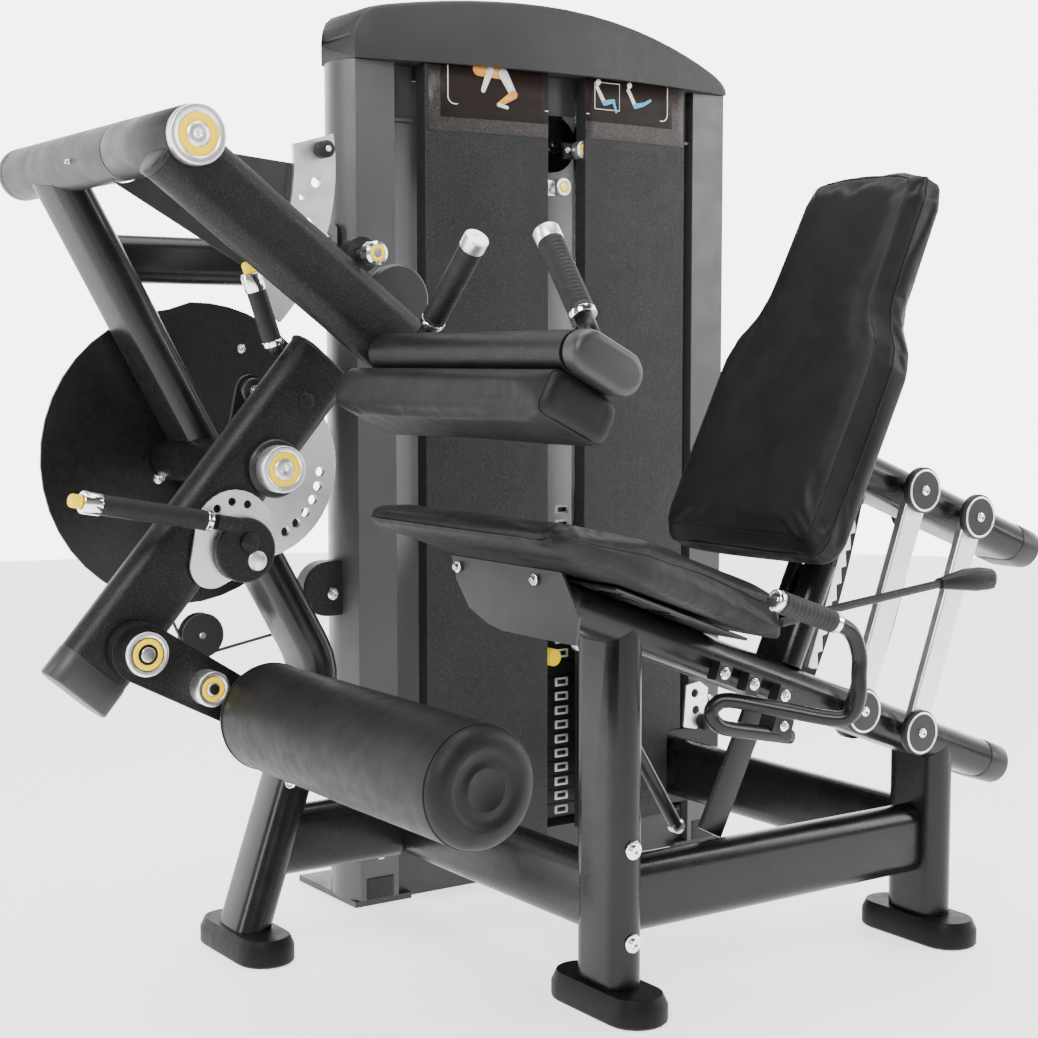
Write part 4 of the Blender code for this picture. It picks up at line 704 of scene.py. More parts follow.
def make_strut_and_brace():
    low_end, high_end = at(0.218, 0.105, 0.235), at(0.020, 0.105, 0.555)
    along = (high_end - low_end).normalized()
    piece("strut_body", pipe([low_end, low_end + along * 0.17], 0.011, 24), BLACK_PLASTIC, "frame",
          edge=0.001)
    piece("strut_rod", pipe([low_end + along * 0.165, high_end], 0.005, 20), CHROME, "frame", edge=0)
    for name, place in (("strut_eye_low", low_end), ("strut_eye_high", high_end)):
        lathe(name, [(-0.009, 0.011), (-0.008, 0.012), (0.008, 0.012), (0.009, 0.011)], place, (0, 1, 0), 28,
              STEEL, "frame")
    foot, head = at(0.230, 0.035, 0.236), at(0.338, 0.035, 0.452)
    lean = (head - foot).normalized()
    piece("rail_brace", bar(foot, head, rounded(0.052, 0.008, 0.003, 3), lean.cross(Vector((0, 1, 0)))),
          FRAME_PAINT, "frame", edge=0.001)


def make_under_seat():
    """Mounting blocks, bars and nuts under the seat and the handle's clamp."""
    up = RAIL_UP
    for number, x in enumerate((0.165, 0.225, 0.290)):
        centre = at(x, -0.072, 0.6013 - x * 0.378) - up * 0.020
        piece(f"seat_block_{number}", bar(centre - RAIL_DIR * 0.014, centre + RAIL_DIR * 0.014,
              rounded(0.022, 0.03, 0.004, 4), (0, 1, 0)), BLACK_PLASTIC, "frame",
              edge=0.001)
        bolt(f"seat_block_nut_{number}", centre + TOWARDS_USER * 0.0112, TOWARDS_USER, "frame", 0.006,
             0.0095)
    centre = at(0.245, -0.105, 0.435)
    piece("handle_clamp", bar(centre - RAIL_DIR * 0.02, centre + RAIL_DIR * 0.02,
          rounded(0.034, 0.036, 0.008, 5), (0, 1, 0)), TEXTURED, "frame", edge=0.001)
    bolt("handle_clamp_screw", centre + Vector((0, -0.0172, 0)), TOWARDS_USER, "frame", 0.005, 0.008)
    for number, x in enumerate((-0.060, 0.030)):
        high_point = at(x, -0.085, 0.6013 - x * 0.378) + up * 0.0335
        piece(f"seat_bracket_{number}", bar(high_point - RAIL_DIR * 0.018, high_point + RAIL_DIR * 0.018,
              rounded(0.06, 0.004, 0.0015, 2), (0, 1, 0)), FRAME_PAINT, "frame", edge=0.0005)
    for name, y in (("near", -0.105), ("far", 0.095)):
        place = at(-0.2135, y, 0.692)
        bolt(f"shield_bolt_{name}", place, (-1, 0, 0), "frame", 0.005, 0.0085)


def make_lever_stop_plate():
    """Chrome plate with two holes and a bumper by the tower's right-hand corner."""
    outline = [at(x, 0, z) for x, z in ((0.693, 0.255), (0.727, 0.248), (0.752, 0.268), (0.757, 0.330),
                                        (0.735, 0.345), (0.700, 0.340))]
    made = make("stop_plate", plate(outline, 0.664, 0.670), BRIGHT)
    for x, z in ((0.722, 0.322), (0.725, 0.287)):
        cut(made, turned([(-0.02, 0.009), (0.02, 0.009)], at(x, 0.667, z), (0, 1, 0), 24))
    finish_plate(made, "frame", 0.0008)
    lathe("stop_bumper", [(0, 0.016), (0.018, 0.016), (0.022, 0.012)], at(0.742, 0.664, 0.262), TOWARDS_USER,
          32, RUBBER, "frame")


def make_seat_handle():
    path = [(0.0855, -0.275, 0.6594), (0.150, -0.275, 0.6365), (0.215, -0.275, 0.6135),
            (0.240, -0.275, 0.596), (0.2535, -0.275, 0.565), (0.2535, -0.275, 0.535),
            (0.2535, -0.275, 0.505), (0.248, -0.268, 0.478), (0.232, -0.250, 0.468), (0.185, -0.188, 0.477),
            (0.135, -0.125, 0.487), (0.118, -0.110, 0.480), (0.112, -0.106, 0.466), (0.120, -0.108, 0.451),
            (0.140, -0.109, 0.441), (0.205, -0.109, 0.427), (0.2713, -0.109, 0.413)]
    route = smooth_path([at(*p) for p in path], 6)
    piece("seat_handle_bar", pipe(route, 0.0118, 20), FRAME_PAINT, "frame", replaces=["seat_handle"], edge=0)
    start = at(0.0855, -0.275, 0.6594)
    along = (at(0.215, -0.275, 0.6135) - start).normalized()
    length = 0.118
    profile = [(0.010, 0.0120), (0.010, 0.0160), (0.012, 0.0168)]
    profile += ridged(0.014, length - 0.018, 12, 0.0168, 0.0165, (0.540, 0.660, 0.816))
    profile += [(length, 0.0166), (length, 0.0120)]
    lathe("seat_handle_grip", profile, start, along, 40, RUBBER, "frame")
    lathe("seat_handle_collar", [(length, 0.0122), (length, 0.0166), (length + 0.009, 0.0166),
          (length + 0.01, 0.0122)], start, along, 40, CHROME, "frame", edge=0.0003)
    lathe("seat_handle_cap", [(-0.004, 0.008), (-0.003, 0.0135), (-0.001, 0.016), (0.009, 0.0163),
          (0.01, 0.0122)], start, along, 40, CHROME, "frame")


# ---------------------------------------------------------------- arms

def lever(prefix, root, along, length, body, cad_node):
    """A lever with a chrome stub, a ribbed rubber grip and a chrome collar round its button."""
    lathe(prefix + "_stub", [(0, 0.01), (0.016, 0.0108), (0.019, 0.0108)], root, along, 32, BLACK_PLASTIC,
          body)
    lathe(prefix + "_lower_ring", [(0.013, 0.01), (0.013, 0.016), (0.014, 0.0165), (0.021, 0.0165),
          (0.022, 0.0158)], root, along, 40, CHROME, body, edge=0.0003)
    profile = [(0.0215, 0.0100), (0.0215, 0.0146), (0.024, 0.0154)]
    profile += ridged(0.026, length - 0.056, 16, 0.0154, 0.0152)
    profile += [(length - 0.0285, 0.0152), (length - 0.0285, 0.0100)]
    lathe(prefix + "_grip", profile, root, along, 40, RUBBER, body)
    collar = [(length - 0.0285, 0.0110), (length - 0.0285, 0.0162), (length - 0.027, 0.0168),
              (length - 0.002, 0.0168), (length, 0.0156), (length, 0.0114), (length - 0.0275, 0.0112)]
    lathe(prefix + "_collar", collar, root, along, 48, CHROME, body, replaces=[cad_node], edge=0.0003)


KNEE_FACE_Y = 0.365     # near face of the leg arm


def make_leg_arm():
    middle_y = 0.395
    offset = ARM_SIDE * 0.030
    base = KNEE + Vector((0, middle_y, 0)) + offset
    top, bottom = base + ARM_DIR * 0.190, base - ARM_DIR * 0.455
    piece("leg_arm_top_cap", bar(top, top + ARM_DIR * 0.006, oval(0.1235, 0.0635), ARM_SIDE, 0.0025, 3),
          BLACK_PLASTIC, "leg_arm", edge=0)
    piece("leg_arm_foot_cap", bar(bottom - ARM_DIR * 0.004, bottom + ARM_DIR * 0.048, oval(0.1222, 0.0622),
          ARM_SIDE, 0.004, 3), GREY_PLASTIC, "leg_arm", edge=0)
    face = KNEE + Vector((0, KNEE_FACE_Y, 0))
    lathe("knee_collar", [(0, 0.046), (0.01, 0.046), (0.013, 0.043), (0.013, 0.03)], face, TOWARDS_USER, 64,
          BLACK_PLASTIC, "leg_arm", edge=0.0006)
    ring_cap("knee_cap", face + TOWARDS_USER * 0.012, TOWARDS_USER, 0.0365, 0.028, "leg_arm", 0.0170, 0.0268,
             replaces=["knee_shaft"])
    axle = [(0.4255 - KNEE_FACE_Y, 0.0149), (0.798 - KNEE_FACE_Y, 0.0149)]
    lathe("knee_axle", axle, face, (0, 1, 0), 32, STEEL, "leg_arm", edge=0.0005)
    cam = 0.764 - KNEE_FACE_Y
    cam_profile = [(cam, 0.016), (cam, 0.1195), (cam + 0.005, 0.1195), (cam + 0.007, 0.110),
                   (cam + 0.017, 0.110), (cam + 0.019, 0.1195), (cam + 0.024, 0.1195), (cam + 0.024, 0.100),
                   (cam + 0.021, 0.097), (cam + 0.021, 0.034), (cam + 0.032, 0.030), (cam + 0.032, 0.016)]
    lathe("cable_cam", cam_profile, face, (0, 1, 0), 96, BLACK_PLASTIC, "leg_arm", closed=True,
          edge=0.0006)
    blob = KNEE + ARM_DIR * 0.118 + ARM_SIDE * 0.022
    lathe("arm_recess_plug", [(-0.001, 0.0125), (0.0015, 0.0125), (0.002, 0.011)],
          Vector((blob.x, ZERO.y + KNEE_FACE_Y, blob.z)), TOWARDS_USER, 32, TEXTURED, "leg_arm")
    make_crank()
    make_range_adjuster()
    start, tip = at(-0.3590, 0.395, 1.0100), at(-0.4077, 0.395, 1.1511)
    lever("start_lever", start, (tip - start).normalized(), (tip - start).length - 0.018, "leg_arm",
          "start_handle")


def make_crank():
    """Short black crank behind the arm, with a bolt at its end."""
    head = at(-0.377, 0, 0.951)
    piece("crank_plate", plate(capsule(KNEE, head, 0.046, 0.026), 0.4475, 0.4555), TEXTURED, "frame",
          edge=0.0008)
    lathe("crank_boss", [(0, 0.021), (0.012, 0.021), (0.014, 0.019)], head + Vector((0, 0.447, 0)),
          TOWARDS_USER, 40, BLACK_PLASTIC, "frame")
    bolt("crank_bolt", head + Vector((0, 0.433, 0)), TOWARDS_USER, "frame", 0.006, 0.009)


def make_range_adjuster():
    """Chrome disc, textured dial and lever that set the leg arm's range."""
    centre = at(-0.4533, 0, 0.7369)
    lobe = at(-0.492, 0, 0.688)
    outline = capsule(centre, lobe, 0.065, 0.036, 20)
    made = make("range_plate", plate(outline, 0.3545, 0.3605), BRIGHT)
    for angle in (62, 95, 128, 161, 235):
        hole = centre + Vector((cos(radians(angle)), 0, sin(radians(angle)))) * 0.047
        cut(made, turned([(0.32, 0.0065), (0.38, 0.0065)], hole, (0, 1, 0), 24))
    finish_plate(made, "leg_arm", 0.0007)
    dial = at(-0.4416, 0.352, 0.7093)
    disc = [(0, 0.050), (0.011, 0.050), (0.014, 0.047)]
    lathe("range_dial", disc, dial, TOWARDS_USER, 56, TEXTURED, "leg_arm", replaces=["range_handle"],
          edge=0.0006)
    hub = [(0.0135, 0.0150), (0.019, 0.0150), (0.020, 0.0138)]
    lathe("range_dial_hub", hub, dial + Vector((0.004, 0, 0.012)), TOWARDS_USER, 36, TEXTURED, "leg_arm")
    stop = [(0.0135, 0.0155), (0.0165, 0.0155), (0.0175, 0.0142)]
    lathe("range_dial_stop", stop, dial + Vector((0.017, 0, -0.017)), TOWARDS_USER, 36, BRIGHT, "leg_arm")
    root, tip = at(-0.500, 0.320, 0.757), at(-0.7322, 0.320, 0.800)
    along = (tip - root).normalized()
    block = bar(root - along * 0.036, root + along * 0.002, rounded(0.026, 0.024, 0.006, 4), (0, 1, 0))
    piece("range_lever_block", block, TEXTURED, "leg_arm", edge=0.001)
    lever("range_lever", root - along * 0.002, along, (tip - root).length - 0.018, "leg_arm", "range_handle")


def make_roller_link():
    ring_cap("link_cap", LINK_PIVOT + Vector((0, 0.340, 0)), TOWARDS_USER, 0.0335, 0.026,
             "roller_link", 0.0150, 0.0245, middle=STEEL)
    knob = at(-0.513, 0.340, 0.505)
    ring_cap("pop_knob", knob, TOWARDS_USER, 0.0270, 0.030, "roller_link", 0.0105, 0.0190,
             middle=BLACK_PLASTIC)
    lathe("pop_knob_stem", [(-0.002, 0.012), (0.01, 0.012)], knob, TOWARDS_USER, 28, STEEL, "roller_link")


def make_thigh_arm():
    near = 0.181
    hub = THIGH + Vector((0, near, 0))
    profile = [(0.018, 0.0435), (0.019, 0.044), (0.252, 0.044), (0.254, 0.043)]
    lathe("thigh_hub_sleeve", profile, hub, (0, 1, 0), 64, TEXTURED, "thigh_arm")
    ring_cap("thigh_hub_cap", hub + Vector((0, 0.019, 0)), TOWARDS_USER, 0.0428, 0.0185, "thigh_arm", 0.0180,
             0.0306, replaces=["thigh_hub"])
    start = at(-0.611, 0.235, 1.305)
    end = start + THIGH_DIR * 0.491
    tube_end("thigh_arm_low_cap", end, THIGH_DIR, THIGH_UP, (0.110, 0.060), "thigh_arm", BLACK_PLASTIC,
             0.004)
    tube_end("thigh_arm_high_cap", start, -THIGH_DIR, THIGH_UP, (0.110, 0.060), "thigh_arm", BLACK_PLASTIC,
             0.010)
    cross_start, cross_end = CROSS + Vector((0, -0.287, 0)), CROSS + Vector((0, 0.2047, 0))
    piece("cross_tube_body", bar(cross_start, cross_end, oval(0.12, 0.06), CROSS_DIR), TEXTURED, "thigh_arm",
          replaces=["cross_tube"], edge=0.001)
    piece("cross_tube_end", bar(CROSS + Vector((0, -0.325, 0)), cross_start + Vector((0, 0.001, 0)),
          oval(0.1206, 0.0606), CROSS_DIR, 0.012), GREY_PLASTIC, "thigh_arm", edge=0)
    cover = at(-0.222, 0.262, 1.093)
    lathe("thigh_joint_cover", [(0, 0.055), (0.01, 0.055), (0.014, 0.051)], cover, TOWARDS_USER, 64,
          DARK_PAINT, "thigh_arm", edge=0.0006)
    for name, root_y, tip_y in (("near", -0.270, -0.148), ("far", 0.170, 0.022)):
        root = CROSS + CROSS_UP * 0.0303 + Vector((0, root_y, 0))
        tip = at(-0.2255, tip_y, 1.176)
        along = (tip - root).normalized()
        reach = (tip - root).length
        lathe(name + "_grip_stem", [(0.0, 0.0125), (0.044, 0.0125)], root, along, 32, TEXTURED, "thigh_arm")
        ring = [(0.042, 0.0120), (0.042, 0.0184), (0.043, 0.0190), (0.051, 0.0190), (0.052, 0.0182)]
        lathe(name + "_grip_ring", ring, root, along, 48, CHROME, "thigh_arm", edge=0.0003)
        profile = [(0.0515, 0.0120), (0.0515, 0.0176), (0.054, 0.0184)]
        profile += ridged(0.054, reach - 0.076, 18, 0.0184, 0.0182)
        profile += [(reach - 0.021, 0.0182), (reach - 0.021, 0.0120)]
        lathe(name + "_grip_rubber", profile, root, along, 48, RUBBER, "thigh_arm")
        cap = [(reach - 0.021, 0.0120), (reach - 0.021, 0.0184), (reach - 0.020, 0.0190),
               (reach - 0.002, 0.0190), (reach, 0.0176), (reach, 0.0060), (reach - 0.001, 0.0052)]
        lathe(name + "_grip_cap", cap, root, along, 48, BRIGHT, "thigh_arm", replaces=[name + "_grip"],
              edge=0.0003)


def make_lock():
    """Chrome sector with its holes, the web that carries it, and the pin's ringed knob."""
    inner, outer = 0.290, 0.365
    outline = arc(THIGH, outer, -44, 8, 26) + arc(THIGH, inner, 6, 4, 1) + arc(THIGH, inner, 2, -44, 20)
    made = make("lock_sector", plate(outline, 0.452, 0.460), BRIGHT)
    for angle in (-28.0, -16.5, -5.0):
        hole = THIGH + Vector((cos(radians(angle)), 0, sin(radians(angle)))) * 0.330
        cut(made, turned([(0.42, 0.0085), (0.50, 0.0085)], hole, (0, 1, 0), 28))
    for angle in (-22.0, -10.0):
        hole = THIGH + Vector((cos(radians(angle)), 0, sin(radians(angle)))) * 0.308
        cut(made, turned([(0.42, 0.005), (0.50, 0.005)], hole, (0, 1, 0), 20))
    finish_plate(made, "frame", 0.0009)
    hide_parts("sector_plate")
    web = arc(THIGH, 0.300, -38, 0, 14) + arc(THIGH, 0.046, 30, -110, 14)
    piece("sector_web", plate(web, 0.461, 0.4655), DARK_PAINT, "frame", edge=0.0008)
    bumper = THIGH + Vector((cos(radians(4)), 0, sin(radians(4)))) * 0.340 + Vector((0, 0.452, 0))
    lathe("sector_bumper", [(0, 0.014), (0.02, 0.014), (0.024, 0.01)], bumper, TOWARDS_USER, 32, RUBBER,
          "frame")
    lathe("sector_bumper_screw", [(0.0235, 0.005), (0.0255, 0.0045)], bumper, TOWARDS_USER, 20, BRIGHT,
          "frame")
    low_corner, high_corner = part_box("lock_pin")
    centre = Vector(((low_corner.x + high_corner.x) / 2, low_corner.y, (low_corner.z + high_corner.z) / 2))
    ring = [(0.0001, 0.0125), (-0.0012, 0.0122), (-0.0012, 0.0072), (0.0001, 0.0069)]
    lathe("lock_pin_ring", ring, centre, (0, 1, 0), 48, YELLOW, "lock_pin", closed=True)


# ---------------------------------------------------------------- upholstery

def inflate(obj, pinned, most, rounds=4, pressure=4.0, voxel=0.0055):
    """Turn a closed solid into a taut cushion by cloth simulation, with its flat side held."""
    fine = obj.modifiers.new("fine", "REMESH")
    fine.mode = "VOXEL"
    fine.voxel_size = voxel
    ease = obj.modifiers.new("ease", "SMOOTH")
    ease.factor = 0.5
    ease.iterations = rounds
    bake(obj)
    start = [v.co.copy() for v in obj.data.vertices]
    group = obj.vertex_groups.new(name="held")
    group.add([i for i, co in enumerate(start) if pinned(co)], 1.0, "REPLACE")
    cloth = obj.modifiers.new("cloth", "CLOTH")
    cloth.settings.quality = 6
    cloth.settings.use_pressure = True
    cloth.settings.uniform_pressure_force = pressure
    cloth.settings.vertex_group_mass = "held"
    cloth.settings.tension_stiffness = 40
    cloth.settings.compression_stiffness = 40
    cloth.settings.shear_stiffness = 15
    cloth.settings.bending_stiffness = 2.0
    cloth.settings.effector_weights.gravity = 0
    cloth.point_cache.frame_start = 1
    cloth.point_cache.frame_end = 20
    scene = bpy.context.scene
    for number in range(1, 21):
        scene.frame_set(number)
    bake(obj)
    scene.frame_set(1)
    for vertex, before in zip(obj.data.vertices, start):
        shift = vertex.co - before
        if shift.length > most:
            vertex.co = before + shift.normalized() * most
    obj.vertex_groups.clear()
    smooth = obj.modifiers.new("smooth", "SUBSURF")
    smooth.levels = smooth.render_levels = 1
    bake(obj)
    return obj


def bake(obj):
    """Apply the modifiers for good."""
    bpy.context.view_layer.update()
    graph = bpy.context.evaluated_depsgraph_get()
    mesh = bpy.data.meshes.new_from_object(obj.evaluated_get(graph))
    obj.modifiers.clear()
    obj.data = mesh
    mesh.shade_smooth()


def pad_copy(node, name, body):
    """A cushion made from the plain CAD pad."""
    source = NODES[node]
    made = bpy.data.objects.new(name, source.data.copy())
    bpy.context.scene.collection.objects.link(made)
    made.matrix_world = source.matrix_world.copy()
    made.data.transform(made.matrix_world)
    made.matrix_world = Matrix.Identity(4)
    made.data.materials.clear()
    made.data.materials.append(LEATHER)
    if "custom_normal" in made.data.attributes:
        made.data.attributes.remove(made.data.attributes["custom_normal"])
    made.data.shade_smooth()
    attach(made, body)
    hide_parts(node)
    return made


def seam(name, points, body, radius=0.0022, closed=False, material=None):
    """Piping or a sewn seam laid on a cushion."""
    made = make(name, pipe(points, radius, 8, closed), material or PIPING)
    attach(made, body)
    return made


def shrink(obj, amount):
    """Draw a solid in by that much on every side, along the world axes."""
    points = [v.co for v in obj.data.vertices]
    corners = [Vector([pick(p[i] for p in points) for i in range(3)]) for pick in (min, max)]
    middle = (corners[0] + corners[1]) / 2
    size = corners[1] - corners[0]
    for vertex in obj.data.vertices:
        for i in range(3):
            vertex.co[i] = middle[i] + (vertex.co[i] - middle[i]) * (1 - 2 * amount / size[i])


def on_surface(obj, points, lift=0.0):
    """Points moved onto a cushion's surface."""
    found = []
    for point in points:
        hit, place, normal, _ = obj.closest_point_on_mesh(point)
        found.append(place + normal * lift if hit else point)
    return found


SEAT_STATIONS = ((-0.282, 0.228, 0.776), (-0.268, 0.243, 0.785), (-0.100, 0.238, 0.748),
                 (0.010, 0.210, 0.717), (0.100, 0.193, 0.683), (0.200, 0.182, 0.646))
SEAT_MIDDLE_Y = 0.012
BACK_FOOT = at(0.243, 0.0, 0.7075)
BACK_DIR = (at(0.532, 0.0, 1.294) - BACK_FOOT).normalized()
BACK_NORMAL = Vector((BACK_DIR.z, 0, -BACK_DIR.x))
BACK_OUTLINE = ((0.170, 0.0), (0.190, 0.010), (0.200, 0.035), (0.200, 0.330), (0.188, 0.370),
                (0.155, 0.415), (0.142, 0.460), (0.135, 0.640), (0.120, 0.680), (0.060, 0.692))
BACK_THICK = 0.075
BACK_CHAMFER = 0.022


def make_seat_cushion():
    made = pad_copy("seat_pad", "seat_cushion", "frame")
    shrink(made, 0.004)
    inflate(made, lambda p: p.z < 0.6472 - 0.3695 * (p.x - ZERO.x) + 0.016, 0.006, rounds=24)
    rim = [at(x, SEAT_MIDDLE_Y - w, top - 0.016) for x, w, top in SEAT_STATIONS]
    rim += [at(x, SEAT_MIDDLE_Y + w, top - 0.016) for x, w, top in reversed(SEAT_STATIONS)]
    route = smooth_path(rim, 10, closed=True)
    seam("seat_seam", on_surface(made, route, 0.0004), "frame", 0.0018, closed=True)


def back_place(up, behind, across):
    return BACK_FOOT + BACK_DIR * up + BACK_NORMAL * behind + Vector((0, 0.022 + across, 0))


def make_backrest_cushion():
    made = pad_copy("backrest_pad", "backrest_cushion", "carriage")
    shrink(made, 0.004)
    inflate(made, lambda p: (p - BACK_FOOT).dot(BACK_NORMAL) > BACK_THICK - 0.012, 0.005, rounds=8)
    outline = BACK_OUTLINE + tuple((-w, h) for w, h in reversed(BACK_OUTLINE))
    half_up, half_across = 0.346, 0.200
    for name, behind, inset in (("backrest_face_seam", 0.002, BACK_CHAMFER),
                                ("backrest_side_seam", 0.034, 0.0)):
        ring = [back_place(half_up + (h - half_up) * (1 - inset / half_up), behind,
                           w * (1 - inset / half_across)) for w, h in outline]
        route = smooth_path(ring, 6, closed=True)
        seam(name, on_surface(made, route, 0.0002), "carriage", 0.0016, closed=True)


def make_thigh_cushion():
    made = pad_copy("thigh_pad", "thigh_cushion", "thigh_arm")
    shrink(made, 0.003)
    inflate(made, lambda p: (p - CROSS).dot(CROSS_UP) > -0.044, 0.005, rounds=10, voxel=0.005)
    centre = CROSS - CROSS_UP * 0.0655
    for name, y in (("near", -0.293), ("far", 0.243)):
        ring = [centre + CROSS_DIR * a + CROSS_UP * b + Vector((0, y, 0))
                for a, b in rounded(0.130, 0.070, 0.018, 6)]
        seam(f"thigh_{name}_seam", on_surface(made, ring, 0.0002), "thigh_arm", 0.0016, closed=True)


def make_roller_cushion():
    """Foam roller in a sewn sleeve, with a moulded disc let into each end."""
    near, far = -0.305, 0.322
    length = far - near
    profile = [(0.0035, 0.001), (0.0035, 0.026), (0.0020, 0.0275), (0.0020, 0.030), (0.0045, 0.032),
               (0.0045, 0.046), (0.0010, 0.050), (0.0, 0.056), (0.0020, 0.066), (0.0070, 0.0745),
               (0.0140, 0.0798), (0.0230, 0.0820)]
    steps = 24
    for step in range(1, steps):
        share = step / steps
        profile.append((0.023 + (length - 0.046) * share, 0.0820 + 0.0008 * sin(pi * share)))
    profile += [(length - 0.023, 0.0820), (length - 0.012, 0.0790), (length - 0.005, 0.0730),
                (length - 0.001, 0.0640), (length, 0.056), (length - 0.003, 0.046), (length - 0.003, 0.001)]
    start = ROLLER + Vector((0, near, 0))
    made = lathe("roller_cushion", profile, start, (0, 1, 0), 72, LEATHER, "roller", replaces=["roller_pad"])
    for name, along in (("near", 0.0235), ("far", length - 0.0235)):
        ring = [start + Vector((0.0822 * cos(a), along, 0.0822 * sin(a)))
                for a in (2 * pi * i / 72 for i in range(72))]
        seam(f"roller_{name}_seam", ring, "roller", 0.0013, closed=True)
    seam("roller_long_seam", [start + Vector((0.0, along, -0.0823)) for along in (0.024, length - 0.024)],
         "roller", 0.0014)


# ---------------------------------------------------------------- backrest links

def link_disc(name, centre, body):
    """Black pivot cap with a light ring round its screw."""
    profile = [(0, 0.0372), (0.0008, 0.0380), (0.011, 0.0380), (0.013, 0.0362), (0.0132, 0.0300)]
    lathe(name, profile, centre, TOWARDS_USER, 56, BLACK_PLASTIC, body)
    rim = [(0.0120, 0.0352), (0.0142, 0.0346), (0.0142, 0.0318), (0.0120, 0.0312)]
    lathe(name + "_rim", rim, centre, TOWARDS_USER, 56, BRIGHT, body, closed=True)
    screw = [(0.0125, 0.0085), (0.0150, 0.0082), (0.0165, 0.0068), (0.0165, 0.0034), (0.0145, 0.0032)]
    lathe(name + "_screw", screw, centre, TOWARDS_USER, 32, CHROME, body)


def make_link_pair(body, foot):
    head = foot + LINK_REACH
    near_low, near_high = -0.0883, -0.0643
    made = make(body + "_near_bar", plate(capsule(foot, head, 0.0230, 0.0230), -0.0815, -0.0645), BRIGHT)
    finish_plate(made, body, 0.0040, 3)
    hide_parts(body)
    side = Vector((LINK_REACH.z, 0, -LINK_REACH.x)).normalized()
    middle_path = [foot + LINK_REACH * t + side * 0.012 * sin(pi * t) for t in (i / 14 for i in range(15))]
    left_edge = [p + side * 0.021 for p in middle_path]
    right_edge = [p - side * 0.021 for p in reversed(middle_path)]
    piece(body + "_far_bar", plate(left_edge + right_edge, 0.0645, 0.0815), TEXTURED, body, edge=0.003)
    for name, centre in (("foot", foot), ("head", head)):
        axle = centre + Vector((0, near_high - 0.002, 0))
        lathe(f"{body}_{name}_axle", [(0, 0.0119), (0.152, 0.0119)], axle, (0, 1, 0), 32, STEEL, body,
              edge=0.0005)
        link_disc(f"{body}_{name}_disc", centre + Vector((0, near_low + 0.0095, 0)), body)
        boss = [(0, 0.036), (0.018, 0.036), (0.020, 0.034)]
        lathe(f"{body}_{name}_boss", boss, centre + Vector((0, 0.064, 0)), (0, 1, 0), 40, BLACK_PLASTIC, body)


# ---------------------------------------------------------------- tower

SHROUD_Y = 0.635
SHROUD_EDGES = {"left": (0.333, 0.076), "right": (0.419, 0.676)}


def shroud_point(side, x, z, lift):
    """A point on the front panel's curved face, lifted off it."""
    inner, outer = SHROUD_EDGES[side]
    share = (x - inner) / (outer - inner)
    return at(x, SHROUD_Y + 0.020 * share * share - lift, z)


def printed(name, side, outline, material, lift):
    """A thin printed shape that follows a front panel's face."""
    bm = loft([[shroud_point(side, x, z, depth) for x, z in outline] for depth in (lift - 0.0004, lift)])
    return piece(name, bm, material, "frame", edge=0)


def film(name, side, x_low, x_high, z_low, z_high, material, lift, steps=14):
    bm = bmesh.new()
    rows = []
    under = lift - 0.0004
    for step in range(steps + 1):
        x = x_low + (x_high - x_low) * step / steps
        rows.append([bm.verts.new(shroud_point(side, x, z, depth))
                     for z, depth in ((z_low, under), (z_low, lift), (z_high, lift), (z_high, under))])
    for first, second in zip(rows, rows[1:]):
        for i in range(4):
            j = (i + 1) % 4
            bm.faces.new((first[i], first[j], second[j], second[i]))
    bm.faces.new(reversed(rows[0]))
    bm.faces.new(rows[-1])
    return piece(name, bm, material, "frame", edge=0)


def ribbon(points, width):
    """Outline of a line of even width along 2-D points."""
    left, right = [], []
    for i, point in enumerate(points):
        before, after = points[max(i - 1, 0)], points[min(i + 1, len(points) - 1)]
        along = (Vector(after) - Vector(before)).normalized()
        side = Vector((-along.y, along.x)) * width / 2
        left.append(tuple(Vector(point) + side))
        right.append(tuple(Vector(point) - side))
    return left + right[::-1]


def blob(start, end, r_start, r_end):
    """2-D outline round two circles, for the printed figures."""
    points = capsule(Vector((start[0], 0, start[1])), Vector((end[0], 0, end[1])), r_start, r_end, 8)
    return [(p.x, p.z) for p in points]


def figure(prefix, side, x, z, size, limbs):
    """A plain figure built from rounded limbs; sizes are shares of its height."""
    for number, (start, end, r_start, r_end, material, lift) in enumerate(limbs):
        outline = blob((x + start[0] * size, z + start[1] * size), (x + end[0] * size, z + end[1] * size),
                       r_start * size, r_end * size)
        printed(f"{prefix}_{number}", side, outline, material, lift)


